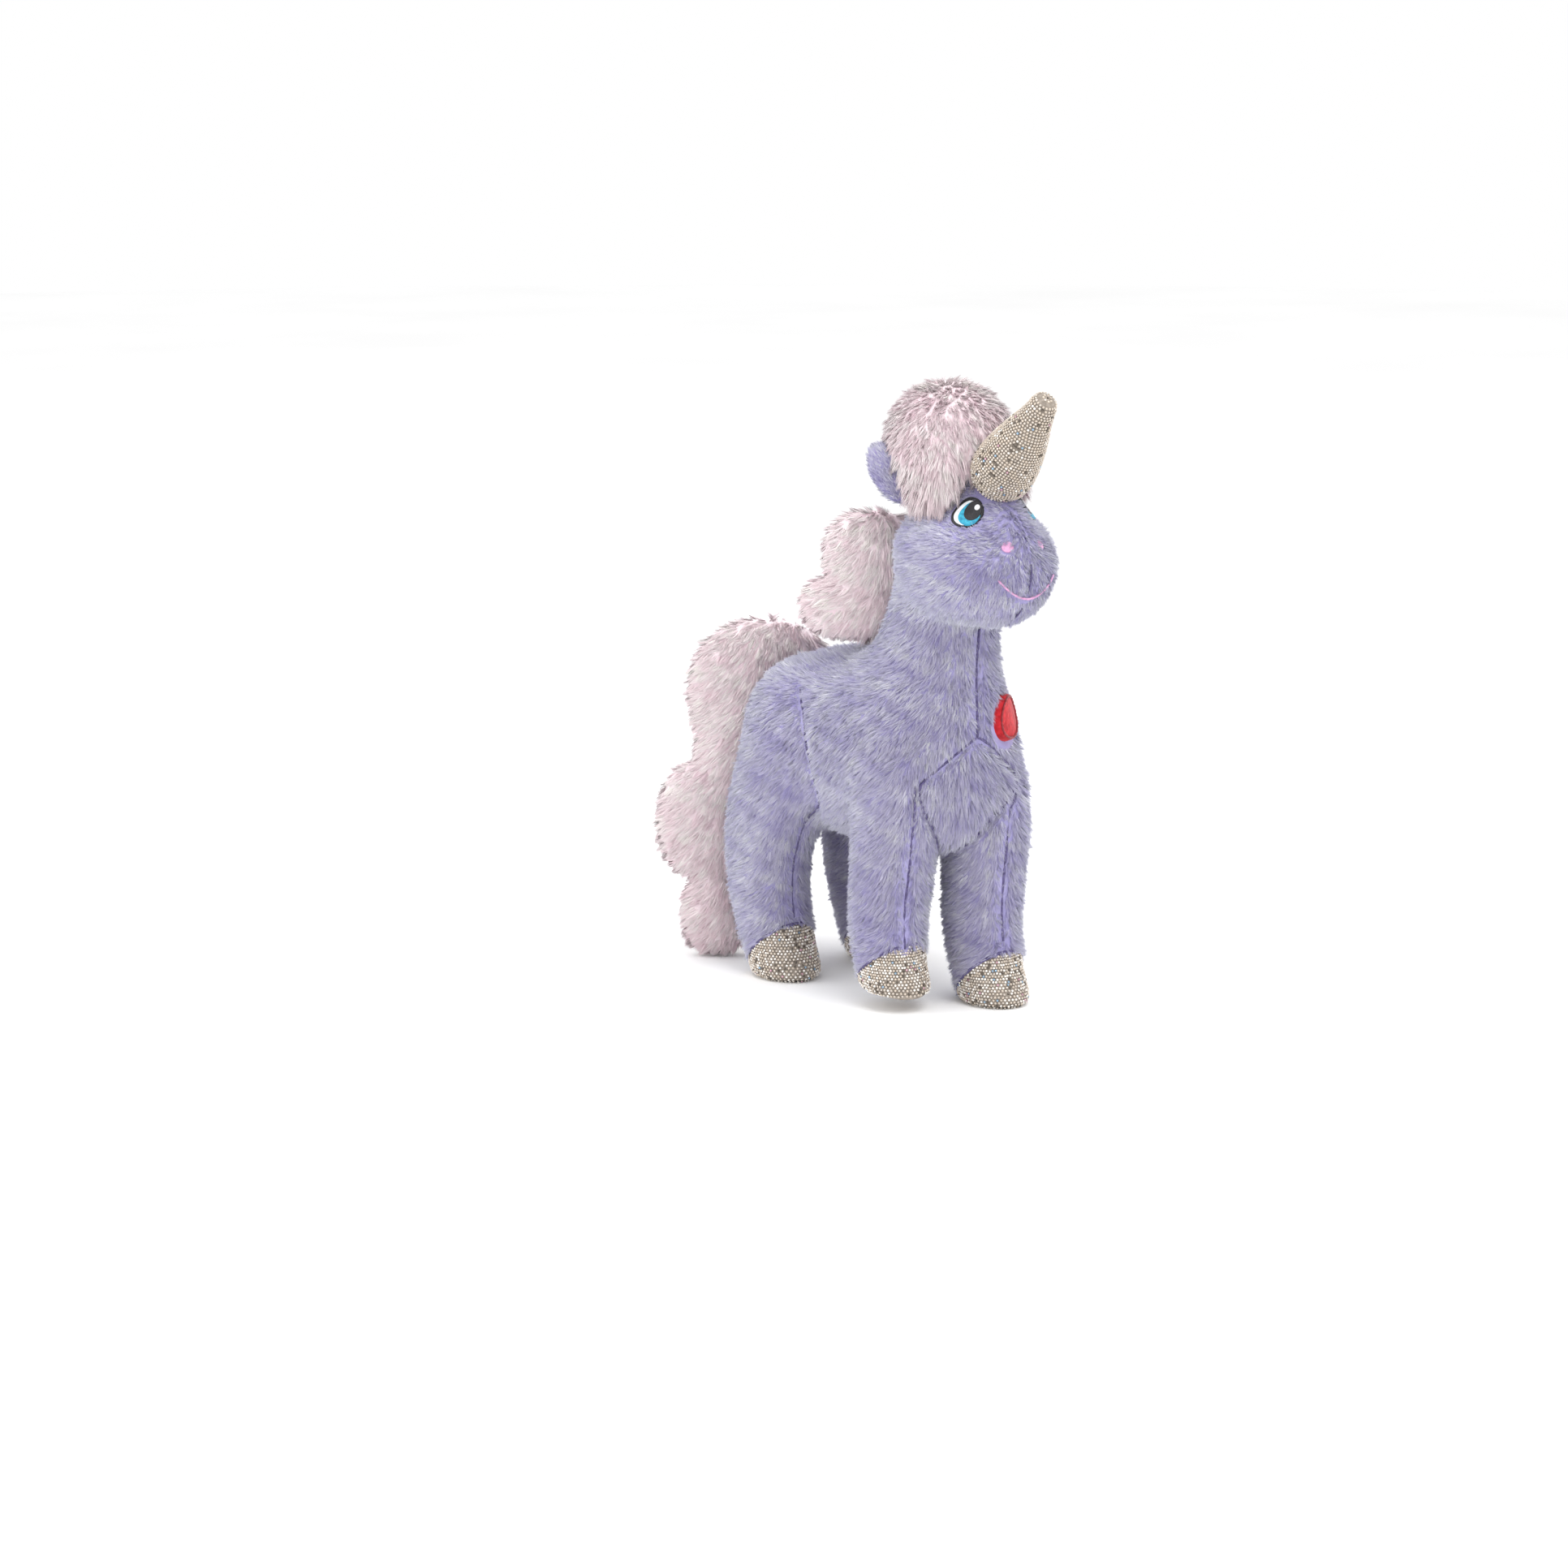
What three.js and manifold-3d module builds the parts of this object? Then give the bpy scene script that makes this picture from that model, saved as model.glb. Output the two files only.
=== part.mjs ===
// Standing plush unicorn, about 256 mm tall: lavender pile-fabric body, head and legs, pink long-pile
// forelock, mane and tail, and metallic knit horn and hooves. Every sewn cover is a thin shell and every
// filling is a solid inside it.
//
// Frame: millimetres, +Z up, the face looks along -Y, the unicorn's left side is +X.
// The origin is under the middle of the whole toy, on the floor.
import * as THREE from "three";
import { LoftGeometry } from "three/addons/geometries/LoftGeometry.js";
import { mergeVertices } from "three/addons/utils/BufferGeometryUtils.js";
import Module from "manifold-3d";

const wasm = await Module();
wasm.setup();

// ---------------------------------------------------------------- driving dimensions
// Places on the toy are written [forward, left, up] from the point midway between the four hooves.
const LENGTH_CENTRE = 3.7; // forward place of the middle of the whole toy, which is the origin
// The tail reaches out to the right, so the middle of the whole box lies beside the body.
const BOX_MIDDLE = [-4.4, -4.3];
const CLOTH = 2.5; // thickness of the pile fabric with its backing
const GAP = 0.3; // space between pieces that touch
const SWING_GAP = 1.0; // extra space around pieces that turn against each other
const ROUND = 2; // power of a plain ellipse
const FULL = 2.4; // power of a fuller, barrel-like outline

const TORSO = {
  centre: [1, 0, 104],
  half: [62, 35.5, 38.5],
  power: FULL,
  lift: (s) => 1.5 * s - 2.5 * s * s,
  deepen: (s) => 1 + 0.05 * s,
  rings: 11,
  sides: 18,
};
// Rows of [up, forward, left, half length, half width], from bottom to top.
const NECK_ROWS = [
  [112, 29, 0, 35, 33],
  [126, 33, 0, 33, 30.5],
  [140, 37, 0, 29, 25.5],
  [154, 41, 0, 26, 22],
  [168, 45, 0, 24, 20.5],
  [182, 48, 0, 23, 19.5],
];
const HEAD = {
  centre: [64, 0, 190],
  half: [35.5, 27.5, 31],
  power: 2.15,
  lift: (s) => -6 * THREE.MathUtils.smoothstep(s, 0.1, 0.8),
  deepen: (s) => 1 - 0.1 * THREE.MathUtils.smoothstep(s, 0.1, 0.9),
  narrow: (up) => 1 - 0.36 * THREE.MathUtils.smoothstep(up, 0, 1),
  rings: 11,
  sides: 18,
};
const HEAD_AXIS = [45, 0, 165]; // the head turns about an upright line through the neck
const HEAD_TURN = 18;

const POUF = {
  centre: [46, 0, 229],
  half: [31, 25, 27],
  power: ROUND,
  rings: 9,
  sides: 14,
};
const FRINGE_HALF = [14, 8, 17];
const FRINGE_AT = [59, 18, 217];

const EYE = { at: [80, 16.8, 207.5], normal: [0.36, 0.82, 0.45] };
const EYE_HALF = [6.4, 7.3]; // half width and half height of the lid outline
const NOSTRIL = { at: [96, 9.5, 197], normal: [0.87, 0.35, 0.35] };
const NOSTRIL_RADIUS = 2.6;
const MOUTH_HALF_WIDTH = 13;
const MOUTH_DROP = 8;
const MOUTH_UP = 175; // height of the middle of the smile
const THREAD = 0.6; // thickness of embroidery
const LAYER = 0.15; // step from one embroidered layer to the next

const HORN_AT = [77, 0, 219];
const HORN_LEAN = 46; // degrees above the horizon
const HORN_LENGTH = 43;
// [share of the length, radius] from the base to the rounded tip.
const HORN_PROFILE = [
  [0, 12.2],
  [0.2, 11.8],
  [0.45, 10],
  [0.6, 8.5],
  [0.72, 6.9],
  [0.84, 5.5],
  [0.93, 4.7],
  [0.98, 3.2],
];
const HORN_CLOTH = 1.2;
const HORN_SWING = 10;

const EAR_BASE = [40, 16.5, 208];
const EAR_TIP = [29, 25, 228];
const EAR_HALF_WIDTH = 8;
const EAR_THICK = 5;
const LINING_THICK = 1.2;
const EAR_FOLD = 20;

const LEG_SWING = 10;
const SOCKET_LONGER = 7; // room in front of and behind the top of a leg
const SOCKET_RISE = 4; // room above it
const SOLE_THICK = 2;
const HOOF_FRONT_HEIGHT = 27;
const HOOF_SLOPE = 43; // degrees that the hoof seam falls from front to back
// Leg rows are [up, forward of the leg line, half length, half width].
const FRONT_LEG = {
  hipUp: 90,
  line: [40, 19],
  rows: [
    [SOLE_THICK + GAP, 4.5, 17, 13.8],
    [12, 2.5, 17, 14.8],
    [30, -0.5, 17, 16],
    [52, -0.8, 17.5, 16.5],
    [74, 0, 18.5, 16.8],
    [90, -1, 17, 15],
    [100, -2, 11, 9],
    [103, -2, 5, 4],
  ],
};
const REAR_LEG = {
  hipUp: 92,
  line: [-40, 25],
  rows: [
    [SOLE_THICK + GAP, 6, 17.8, 14.2],
    [12, 4, 18.5, 15.3],
    [30, -1, 18.5, 16.8],
    [48, -3, 19.5, 17],
    [70, 2, 23.5, 17],
    [92, 6, 23.5, 15],
    [106, 7, 16, 9.5],
    [111, 7, 8, 4.5],
  ],
};
const FRONT_LEFT_AHEAD = 7; // how far the front left leg stands in front of the right one
const STEP_BACK = 6.5; // degrees that the front right leg trails
const STEP_LIFT = 6.8; // height that its hip is lifted, which holds its toe just off the floor
const LEG_SIDES = 12;
const LEG_STEPS = 7;

const MANE_FLOP = 44; // degrees that the mane lies over to the right
const TAIL_FLOP = 56;
const MANE_ROOT = [14, 0];
const MANE_LEAN = 8;
// The mane and the tail are rows of padded lobes that run into each other. Each lobe is
// [distance from the root line, up, half length, half height].
const MANE_LOBES = [
  [18, 160, 24.5, 15.5],
  [11, 181, 22, 20],
];
const MANE_THICK = 17;
const TAIL_ROOT = [-57, 0];
const TAIL_SWING = [-50, 0];
const TAIL_LOBES = [
  [17, 112, 30, 33],
  [27, 86, 18, 30],
  [38, 59, 23.5, 29],
  [35, 20.3, 15.5, 20],
];
const TAIL_THICK = 15;
const LOBE_POWER = 2.3;

const PATCH_RADIUS = 10.4;
const PATCH_THICK = 1.2;
const PATCH = { at: [59, 18, 118.5], normal: [0.81, 0.58, 0] };
const LABEL = { size: [12, 0.8, 14], at: [6, 13, 60] };

const COLOURS = {
  lavender: 0xa6a1cf,
  pink: 0xe6cdd6,
  silver: 0xb9b2a8,
  fibre: 0xf4f3ef,
  white: 0xf6f6f6,
  iris: 0x1d8fb8,
  black: 0x16161a,
  rose: 0xe6a6cf,
  red: 0xc8202c,
};

// ---------------------------------------------------------------- solids
const rad = THREE.MathUtils.degToRad;

// A point of the toy's own [forward, left, up] in the frame's millimetres.
function place([forward, left, up]) {
  return new THREE.Vector3(left, LENGTH_CENTRE - forward, up);
}

function direction([forward, left, up]) {
  return new THREE.Vector3(left, -forward, up).normalize();
}

function mirrored([forward, left, up]) {
  return [forward, -left, up];
}

// A closed three.js geometry as a manifold-3d solid with its faces pointing out.
function solid(geometry) {
  const bare = new THREE.BufferGeometry();
  bare.setAttribute("position", geometry.getAttribute("position"));
  if (geometry.index) bare.setIndex(geometry.index);
  const merged = mergeVertices(bare, 1e-3);
  const triVerts = new Uint32Array(merged.index.array);
  const vertProperties = new Float32Array(merged.attributes.position.array);
  const made = new wasm.Manifold(new wasm.Mesh({ numProp: 3, vertProperties, triVerts }));
  if (made.volume() > 0) return made;
  for (let i = 0; i < triVerts.length; i += 3) {
    [triVerts[i + 1], triVerts[i + 2]] = [triVerts[i + 2], triVerts[i + 1]];
  }
  return new wasm.Manifold(new wasm.Mesh({ numProp: 3, vertProperties, triVerts }));
}

function geometryOf(made) {
  const mesh = made.getMesh();
  const points = new Float32Array(mesh.numVert * 3);
  for (let i = 0; i < mesh.numVert; i++) {
    points.set(mesh.vertProperties.subarray(i * mesh.numProp, i * mesh.numProp + 3), i * 3);
  }
  const geometry = new THREE.BufferGeometry();
  geometry.setAttribute("position", new THREE.BufferAttribute(points, 3));
  geometry.setIndex(new THREE.BufferAttribute(mesh.triVerts, 1));
  geometry.computeVertexNormals();
  return geometry;
}

function turned(geometry, at, axis, degrees) {
  const about = new THREE.Matrix4()
    .makeTranslation(at.x, at.y, at.z)
    .multiply(new THREE.Matrix4().makeRotationAxis(axis, rad(degrees)))
    .multiply(new THREE.Matrix4().makeTranslation(-at.x, -at.y, -at.z));
  return new THREE.BufferGeometry().copy(geometry).applyMatrix4(about);
}

// The room around an egg when something turns against it.
function room(shape) {
  return egg(shape, -SWING_GAP);
}

// The space that a geometry passes through as it turns to and fro.
function swept(geometry, at, axis, angles) {
  return angles
    .map((degrees) => solid(turned(geometry, at, axis, degrees)))
    .reduce((whole, next) => whole.add(next));
}

const there = (limit) => [-limit, 0, limit];

// A stuffed egg lying fore and aft. lift and deepen bend and swell it along its length, s from -1 to 1,
// and narrow pulls its sides in towards the top.
function egg(shape, inset = 0) {
  const { centre, half, power, rings, sides } = shape;
  const [length, width, height] = half.map((value) => value - inset);
  const sections = [];
  for (let i = 0; i < rings; i++) {
    const s = -0.995 * Math.cos((Math.PI * i) / (rings - 1));
    const share = (1 - Math.abs(s) ** power) ** (1 / power);
    const lift = shape.lift ? shape.lift(s) : 0;
    const deep = shape.deepen ? shape.deepen(s) : 1;
    const ring = [];
    for (let j = 0; j < sides; j++) {
      const angle = (2 * Math.PI * j) / sides;
      const slim = shape.narrow ? shape.narrow(Math.sin(angle)) : 1;
      const left = centre[1] + width * slim * share * Math.cos(angle);
      const up = centre[2] + lift + height * deep * share * Math.sin(angle);
      ring.push(place([centre[0] + length * s, left, up]));
    }
    sections.push(ring);
  }
  return new LoftGeometry(sections, { capStart: true, capEnd: true });
}

// An upright stuffed tube through rows of [up, forward, left, half length, half width].
function column(rows, { inset = 0, steps = 5, sides = 16, openBottom = false } = {}) {
  const heights = rows.map((row) => row[0]);
  const through = new THREE.CubicInterpolant(heights, rows.flatMap((row) => row.slice(1)), 4);
  const low = heights[0] + (openBottom ? -1 : inset);
  const high = heights.at(-1) - inset;
  const sections = [];
  for (let i = 0; i <= steps; i++) {
    const up = THREE.MathUtils.lerp(low, high, i / steps);
    const [forward, left, length, width] = through.evaluate(Math.max(up, heights[0]));
    const ring = [];
    for (let j = 0; j < sides; j++) {
      const angle = (2 * Math.PI * j) / sides;
      const ahead = forward + Math.max(length - inset, 1) * Math.cos(angle);
      const aside = left + Math.max(width - inset, 1) * Math.sin(angle);
      ring.push(place([ahead, aside, up]));
    }
    sections.push(ring);
  }
  return new LoftGeometry(sections, { capStart: true, capEnd: true });
}

function box(size, at) {
  const geometry = new THREE.BoxGeometry(size[1], size[0], size[2]);
  const centre = place(at);
  return geometry.translate(centre.x, centre.y, centre.z);
}

// Everything on one side of the middle plane, with a gap left at the seam.
const FAR = 400;
function sideHalf(sign, gap = GAP / 2) {
  return solid(box([FAR, FAR, 2 * FAR], [0, sign * (FAR / 2 + gap), 0]));
}

// A prism with a given outline in the plane across a normal, from just under a point outwards.
function stamp(outline, at, normal, reach = 8) {
  const shape = new THREE.Shape(outline.map(([x, y]) => new THREE.Vector2(x, y)));
  const geometry = new THREE.ExtrudeGeometry(shape, { depth: 2 * reach, bevelEnabled: false });
  geometry.translate(0, 0, -reach);
  const out = direction(normal);
  const across = new THREE.Vector3(0, 0, 1).cross(out).normalize();
  const basis = new THREE.Matrix4().makeBasis(across, out.clone().cross(across), out);
  return geometry.applyMatrix4(basis.setPosition(place(at)));
}

function ellipse([width, height], centre = [0, 0], count = 12) {
  return Array.from({ length: count }, (_, i) => {
    const angle = (2 * Math.PI * i) / count;
    return [centre[0] + width * Math.cos(angle), centre[1] + height * Math.sin(angle)];
  });
}

const group = new THREE.Group();
function piece(parent, name, made, colour, metalness = 0, roughness = 0.9) {
  const material = new THREE.MeshStandardMaterial({ color: colour, metalness, roughness });
  const mesh = new THREE.Mesh(geometryOf(made), material);
  mesh.name = name;
  parent.add(mesh);
}

const UP = new THREE.Vector3(0, 0, 1);
const ACROSS = new THREE.Vector3(1, 0, 0);
const LEFT_RIGHT = [["left", 1], ["right", -1]];

// ---------------------------------------------------------------- legs
function legRows(leg, side) {
  return leg.rows.map(([up, ahead, length, width]) => [
    up, leg.line[0] + ahead, side * leg.line[1], length, width,
  ]);
}

// The socket that the top of a leg swings in: longer and taller than the leg, and hardly wider.
function socketRows(leg, side) {
  return legRows(leg, side).map(([up, ahead, aside, length, width], i) => [
    up + (i > 3 ? SOCKET_RISE : 0), ahead, aside, length + SOCKET_LONGER, width + 1.5 * SWING_GAP,
  ]);
}

function hip(leg, side) {
  return place([leg.line[0], side * leg.line[1], leg.hipUp]);
}

// The block under the sloping hoof seam, which runs from the shin down to the heel.
function hoofBlock(leg, side, raise = 0) {
  const front = leg.line[0] + leg.rows[0][2] + leg.rows[0][1];
  const fall = Math.tan(rad(HOOF_SLOPE));
  const height = HOOF_FRONT_HEIGHT + raise;
  const shape = new THREE.Shape([
    new THREE.Vector2(front + 5, -5),
    new THREE.Vector2(front + 5, height),
    new THREE.Vector2(front - 4, height),
    new THREE.Vector2(front - 4 - (height + 5) / fall, -5),
  ]);
  const geometry = new THREE.ExtrudeGeometry(shape, { depth: 50, bevelEnabled: false });
  const sideways = new THREE.Matrix4().makeBasis(
    new THREE.Vector3(0, -1, 0), new THREE.Vector3(0, 0, 1), new THREE.Vector3(-1, 0, 0));
  sideways.setPosition(side * leg.line[1] + 25, LENGTH_CENTRE, 0);
  return solid(geometry.applyMatrix4(sideways));
}

const sockets = [];
function addLeg(leg, end, sideName, side) {
  const name = `${end}_${sideName}`;
  const trailing = name === "front_right";
  const pivot = hip(leg, side);
  const parent = new THREE.Group();
  const pose = new THREE.Group();
  pose.position.copy(pivot);
  pose.rotation.x = trailing ? rad(STEP_BACK) : 0;
  pose.position.z += trailing ? STEP_LIFT : 0;
  parent.position.copy(pivot).negate();
  pose.add(parent);
  group.add(pose);

  const size = { steps: LEG_STEPS, sides: LEG_SIDES };
  const rows = legRows(leg, side);
  const outside = solid(column(rows, size));
  const hollow = solid(column(rows, { ...size, inset: CLOTH, openBottom: true }));
  const shell = outside.subtract(hollow);
  const sock = shell.subtract(hoofBlock(leg, side, GAP));
  const cut = side * leg.line[1];
  for (const [panel, way] of [["outer", side], ["inner", -side]]) {
    const half = solid(box([FAR, FAR, FAR], [0, cut + way * (FAR / 2 + GAP / 2), 0]));
    piece(parent, `leg_${name}_${panel}_panel`, sock.intersect(half), COLOURS.lavender);
  }
  piece(parent, `hoof_${name}_cap`, shell.intersect(hoofBlock(leg, side)), COLOURS.silver, 0.7, 0.35);
  const filling = solid(column(rows, { ...size, inset: CLOTH + GAP, openBottom: true }));
  const floor = box([FAR, FAR, 20], [0, 0, SOLE_THICK + GAP - 10]);
  piece(parent, `leg_${name}_stuffing`, filling.subtract(solid(floor)), COLOURS.fibre);

  const bottom = rows[0];
  const soleRows = [0, SOLE_THICK].map((up) => [up, ...bottom.slice(1)]);
  const sole = column(soleRows, { steps: 1, sides: LEG_SIDES });
  piece(parent, `hoof_${name}_sole`, solid(sole), COLOURS.silver, 0.7, 0.35);

  const space = column(socketRows(leg, side), size);
  if (trailing) space.applyMatrix4(new THREE.Matrix4().makeTranslation(0, 0, STEP_LIFT));
  const middle = pivot.clone().setZ(pose.position.z);
  sockets.push(solid(turned(space, middle, ACROSS, trailing ? STEP_BACK : 0)));
}
const [frontLine, frontAside] = FRONT_LEG.line;
const FRONT_LEFT_LEG = { ...FRONT_LEG, line: [frontLine + FRONT_LEFT_AHEAD, frontAside] };
addLeg(FRONT_LEFT_LEG, "front", "left", 1);
addLeg(FRONT_LEG, "front", "right", -1);
addLeg(REAR_LEG, "rear", "left", 1);
addLeg(REAR_LEG, "rear", "right", -1);

// ---------------------------------------------------------------- torso and neck
const headTurns = there(HEAD_TURN);
const headSpace = swept(room(HEAD), place(HEAD_AXIS), UP, headTurns);
const torsoCuts = [headSpace, ...sockets].reduce((whole, next) => whole.add(next));

function trunk(inset) {
  const rows = NECK_ROWS;
  return solid(egg(TORSO, inset)).add(solid(column(rows, { inset })));
}
const trunkShell = trunk(0).subtract(trunk(CLOTH)).subtract(torsoCuts);

// The gusset under the belly: pointed at the chest and under the tail, widest between the legs.
function gussetBlock(grow) {
  const outline = [
    [60, 0], [48, 7], [30, 11], [0, 12], [-30, 11], [-48, 6], [-58, 0],
    [-48, -6], [-30, -11], [0, -12], [30, -11], [48, -7],
  ];
  const shape = new THREE.Shape(outline.map(([ahead, aside]) => {
    const reach = 1 + grow / 12;
    return new THREE.Vector2(aside * reach, LENGTH_CENTRE - ahead * (1 + grow / 60));
  }));
  return solid(new THREE.ExtrudeGeometry(shape, { depth: 90 + grow, bevelEnabled: false }));
}
piece(group, "belly_gusset", trunkShell.intersect(gussetBlock(0)), COLOURS.lavender);
const sides = trunkShell.subtract(gussetBlock(GAP));
for (const [sideName, side] of LEFT_RIGHT) {
  piece(group, `torso_skin_${sideName}`, sides.intersect(sideHalf(side)), COLOURS.lavender);
}
piece(group, "torso_stuffing", trunk(CLOTH + GAP).subtract(torsoCuts), COLOURS.fibre);

// ---------------------------------------------------------------- patch and label
const patchDisc = solid(stamp(ellipse([PATCH_RADIUS, PATCH_RADIUS]), PATCH.at, PATCH.normal, 14));
const patchFace = trunk(-GAP - PATCH_THICK).subtract(trunk(-GAP));
piece(group, "chest_patch", patchFace.intersect(patchDisc), COLOURS.red);

const labelLoop = solid(box(LABEL.size, LABEL.at));
piece(group, "care_label", labelLoop.subtract(trunk(-GAP)).subtract(torsoCuts), COLOURS.white);

// ---------------------------------------------------------------- horn and ears
const hornAxis = direction([Math.cos(rad(HORN_LEAN)), 0, Math.sin(rad(HORN_LEAN))]);
function horn(inset, deep = 0, facets = 14) {
  const base = -deep;
  const points = [new THREE.Vector2(0, base), new THREE.Vector2(HORN_PROFILE[0][1] - inset, base)];
  for (const [share, radius] of HORN_PROFILE) {
    const along = share * (HORN_LENGTH - inset);
    if (along > base) points.push(new THREE.Vector2(Math.max(radius - inset, 0.6), along));
  }
  points.push(new THREE.Vector2(0, HORN_LENGTH - inset));
  const lathe = new THREE.LatheGeometry(points, facets);
  const upright = new THREE.Quaternion().setFromUnitVectors(new THREE.Vector3(0, 1, 0), hornAxis);
  const at = place(HORN_AT);
  return lathe.applyQuaternion(upright).translate(at.x, at.y, at.z);
}
const HORN_SINK = 16; // the cone runs this far down before the head's surface cuts it
const hornPivot = place(HORN_AT);
const headTilts = swept(room(HEAD), hornPivot, ACROSS, there(HORN_SWING));
const hornShell = solid(horn(0, HORN_SINK)).subtract(solid(horn(HORN_CLOTH, HORN_SINK + 1)));
piece(group, "horn_cover", hornShell.subtract(headTilts), COLOURS.silver, 0.7, 0.35);
const hornCore = solid(horn(HORN_CLOTH + GAP, HORN_SINK));
piece(group, "horn_stuffing", hornCore.subtract(headTilts), COLOURS.fibre);
const hornSpace = swept(horn(-SWING_GAP - 0.4, HORN_SINK, 9), hornPivot, ACROSS, there(HORN_SWING));

function earPlate(side, from, thick, grow = 0) {
  const base = place(side > 0 ? EAR_BASE : mirrored(EAR_BASE));
  const tip = place(side > 0 ? EAR_TIP : mirrored(EAR_TIP));
  const upward = tip.clone().sub(base);
  const height = upward.length();
  upward.normalize();
  const outward = direction([0.75, side * 0.66, 0.1]);
  const across = outward.clone().cross(upward).normalize();
  const face = upward.clone().cross(across).normalize();
  const width = EAR_HALF_WIDTH + grow;
  const shape = new THREE.Shape();
  shape.moveTo(-0.6 * width, -grow);
  shape.lineTo(0.6 * width, -grow);
  shape.bezierCurveTo(1.3 * width, 0.45 * height, 0.8 * width, height + grow, 0, height + grow);
  shape.bezierCurveTo(-0.8 * width, height + grow, -1.3 * width, 0.45 * height, -0.6 * width, -grow);
  const options = { depth: thick + 2 * grow, bevelEnabled: false, curveSegments: 4 };
  const geometry = new THREE.ExtrudeGeometry(shape, options).translate(0, 0, from - grow);
  const basis = new THREE.Matrix4().makeBasis(across, upward, face);
  return { geometry: geometry.applyMatrix4(basis.setPosition(base)), base, across };
}
const earSpaces = [];
for (const [sideName, side] of LEFT_RIGHT) {
  const back = earPlate(side, 0, EAR_THICK - LINING_THICK - GAP);
  const headAround = swept(room(HEAD), back.base, back.across, there(EAR_FOLD));
  piece(group, `ear_${sideName}_back`, solid(back.geometry).subtract(headAround), COLOURS.lavender);
  const front = earPlate(side, EAR_THICK - LINING_THICK, LINING_THICK);
  piece(group, `ear_${sideName}_lining`, solid(front.geometry).subtract(headAround), COLOURS.pink);
  const space = earPlate(side, 0, EAR_THICK, SWING_GAP + 0.5).geometry;
  earSpaces.push(swept(space, back.base, back.across, there(EAR_FOLD)));
}

// ---------------------------------------------------------------- head
const headOuter = solid(egg(HEAD));
const headShell = headOuter.subtract(solid(egg(HEAD, CLOTH)));
for (const [sideName, side] of LEFT_RIGHT) {
  piece(group, `head_skin_${sideName}`, headShell.intersect(sideHalf(side)), COLOURS.lavender);
}
piece(group, "head_stuffing", solid(egg(HEAD, CLOTH + GAP)), COLOURS.fibre);

const keepOff = [hornSpace, ...earSpaces].reduce((whole, next) => whole.add(next));
function forelock(inset) {
  let made = solid(egg(POUF, inset));
  for (const side of [1, -1]) {
    const [forward, left, up] = FRINGE_AT;
    const fringe = {
      centre: [forward, side * left, up], half: FRINGE_HALF, power: ROUND, rings: 7, sides: 12,
    };
    made = made.add(solid(egg(fringe, inset)));
  }
  return made;
}
const onHead = solid(egg(HEAD, -GAP));
const forelockCuts = onHead.add(keepOff);
const forelockCover = forelock(0).subtract(forelock(CLOTH)).subtract(forelockCuts);
piece(group, "forelock_cover", forelockCover, COLOURS.pink);
piece(group, "forelock_stuffing", forelock(CLOTH + GAP).subtract(forelockCuts), COLOURS.fibre);

// Embroidery lies on the head in layers, each cut from a thin skin over the egg.
const skins = new Map();
function onFace(outline, at, normal, layer) {
  if (!skins.has(layer)) {
    const low = GAP + layer * (THREAD + LAYER);
    const skin = solid(egg(HEAD, -low - THREAD)).subtract(solid(egg(HEAD, -low)));
    skins.set(layer, skin);
  }
  return skins.get(layer).intersect(solid(stamp(outline, at, normal)));
}
for (const [sideName, side] of LEFT_RIGHT) {
  const flip = (point) => (side > 0 ? point : mirrored(point));
  const at = flip(EYE.at);
  const normal = flip(EYE.normal);
  const toNose = -side; // the iris sits towards the nose
  const [wide, high] = EYE_HALF;
  const lid = ellipse([wide, high]);
  const white = ellipse([wide * 0.86, high * 0.88], [toNose * 0.3, -0.5]);
  const iris = ellipse([wide * 0.56, high * 0.7], [toNose * 1.7, -0.4]);
  const pupil = ellipse([wide * 0.36, high * 0.5], [toNose * 2.2, -0.2]);
  const glint = ellipse([1.1, 1.3], [toNose * 3.1, 2.2], 8);
  piece(group, `eye_${sideName}_lid`, onFace(lid, at, normal, 0), COLOURS.black);
  piece(group, `eye_${sideName}_white`, onFace(white, at, normal, 1), COLOURS.white);
  piece(group, `eye_${sideName}_iris`, onFace(iris, at, normal, 2), COLOURS.iris);
  piece(group, `eye_${sideName}_pupil`, onFace(pupil, at, normal, 3), COLOURS.black);
  piece(group, `eye_${sideName}_glint`, onFace(glint, at, normal, 4), COLOURS.white);
  const dot = ellipse([NOSTRIL_RADIUS, NOSTRIL_RADIUS], [0, 0], 12);
  const nostril = onFace(dot, flip(NOSTRIL.at), flip(NOSTRIL.normal), 0);
  piece(group, `nostril_${sideName}`, nostril, COLOURS.rose);
}
const smile = [];
const SMILE_POINTS = 8;
for (const [edge, order] of [[-0.5, 1], [0.5, -1]]) {
  for (let i = 0; i <= SMILE_POINTS; i++) {
    const s = order * ((2 * i) / SMILE_POINTS - 1);
    smile.push([s * MOUTH_HALF_WIDTH, MOUTH_DROP * s * s + edge]);
  }
}
const mouth = onFace(smile, [95, 0, MOUTH_UP], [1, 0, 0], 0);
piece(group, "mouth", mouth, COLOURS.rose);

// ---------------------------------------------------------------- mane and tail
// A flat padded lobe beside its root line, lying over to the right.
function lobe([away, up, length, height], thick, root, inset) {
  const rings = 9;
  const sides = 10;
  const sections = [];
  for (let i = 0; i < rings; i++) {
    const s = -0.99 * Math.cos((Math.PI * i) / (rings - 1));
    const share = (1 - Math.abs(s) ** LOBE_POWER) ** (1 / LOBE_POWER);
    const ring = [];
    for (let j = 0; j < sides; j++) {
      const angle = (2 * Math.PI * j) / sides;
      const along = away + (length - inset) * share * Math.cos(angle);
      const across = (inset - thick / 2) * share * Math.sin(angle);
      ring.push(new THREE.Vector3(along, up + (height - inset) * s, across));
    }
    sections.push(ring);
  }
  const geometry = new LoftGeometry(sections, { capStart: true, capEnd: true });
  return geometry.applyMatrix4(flopPlane(root));
}

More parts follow.
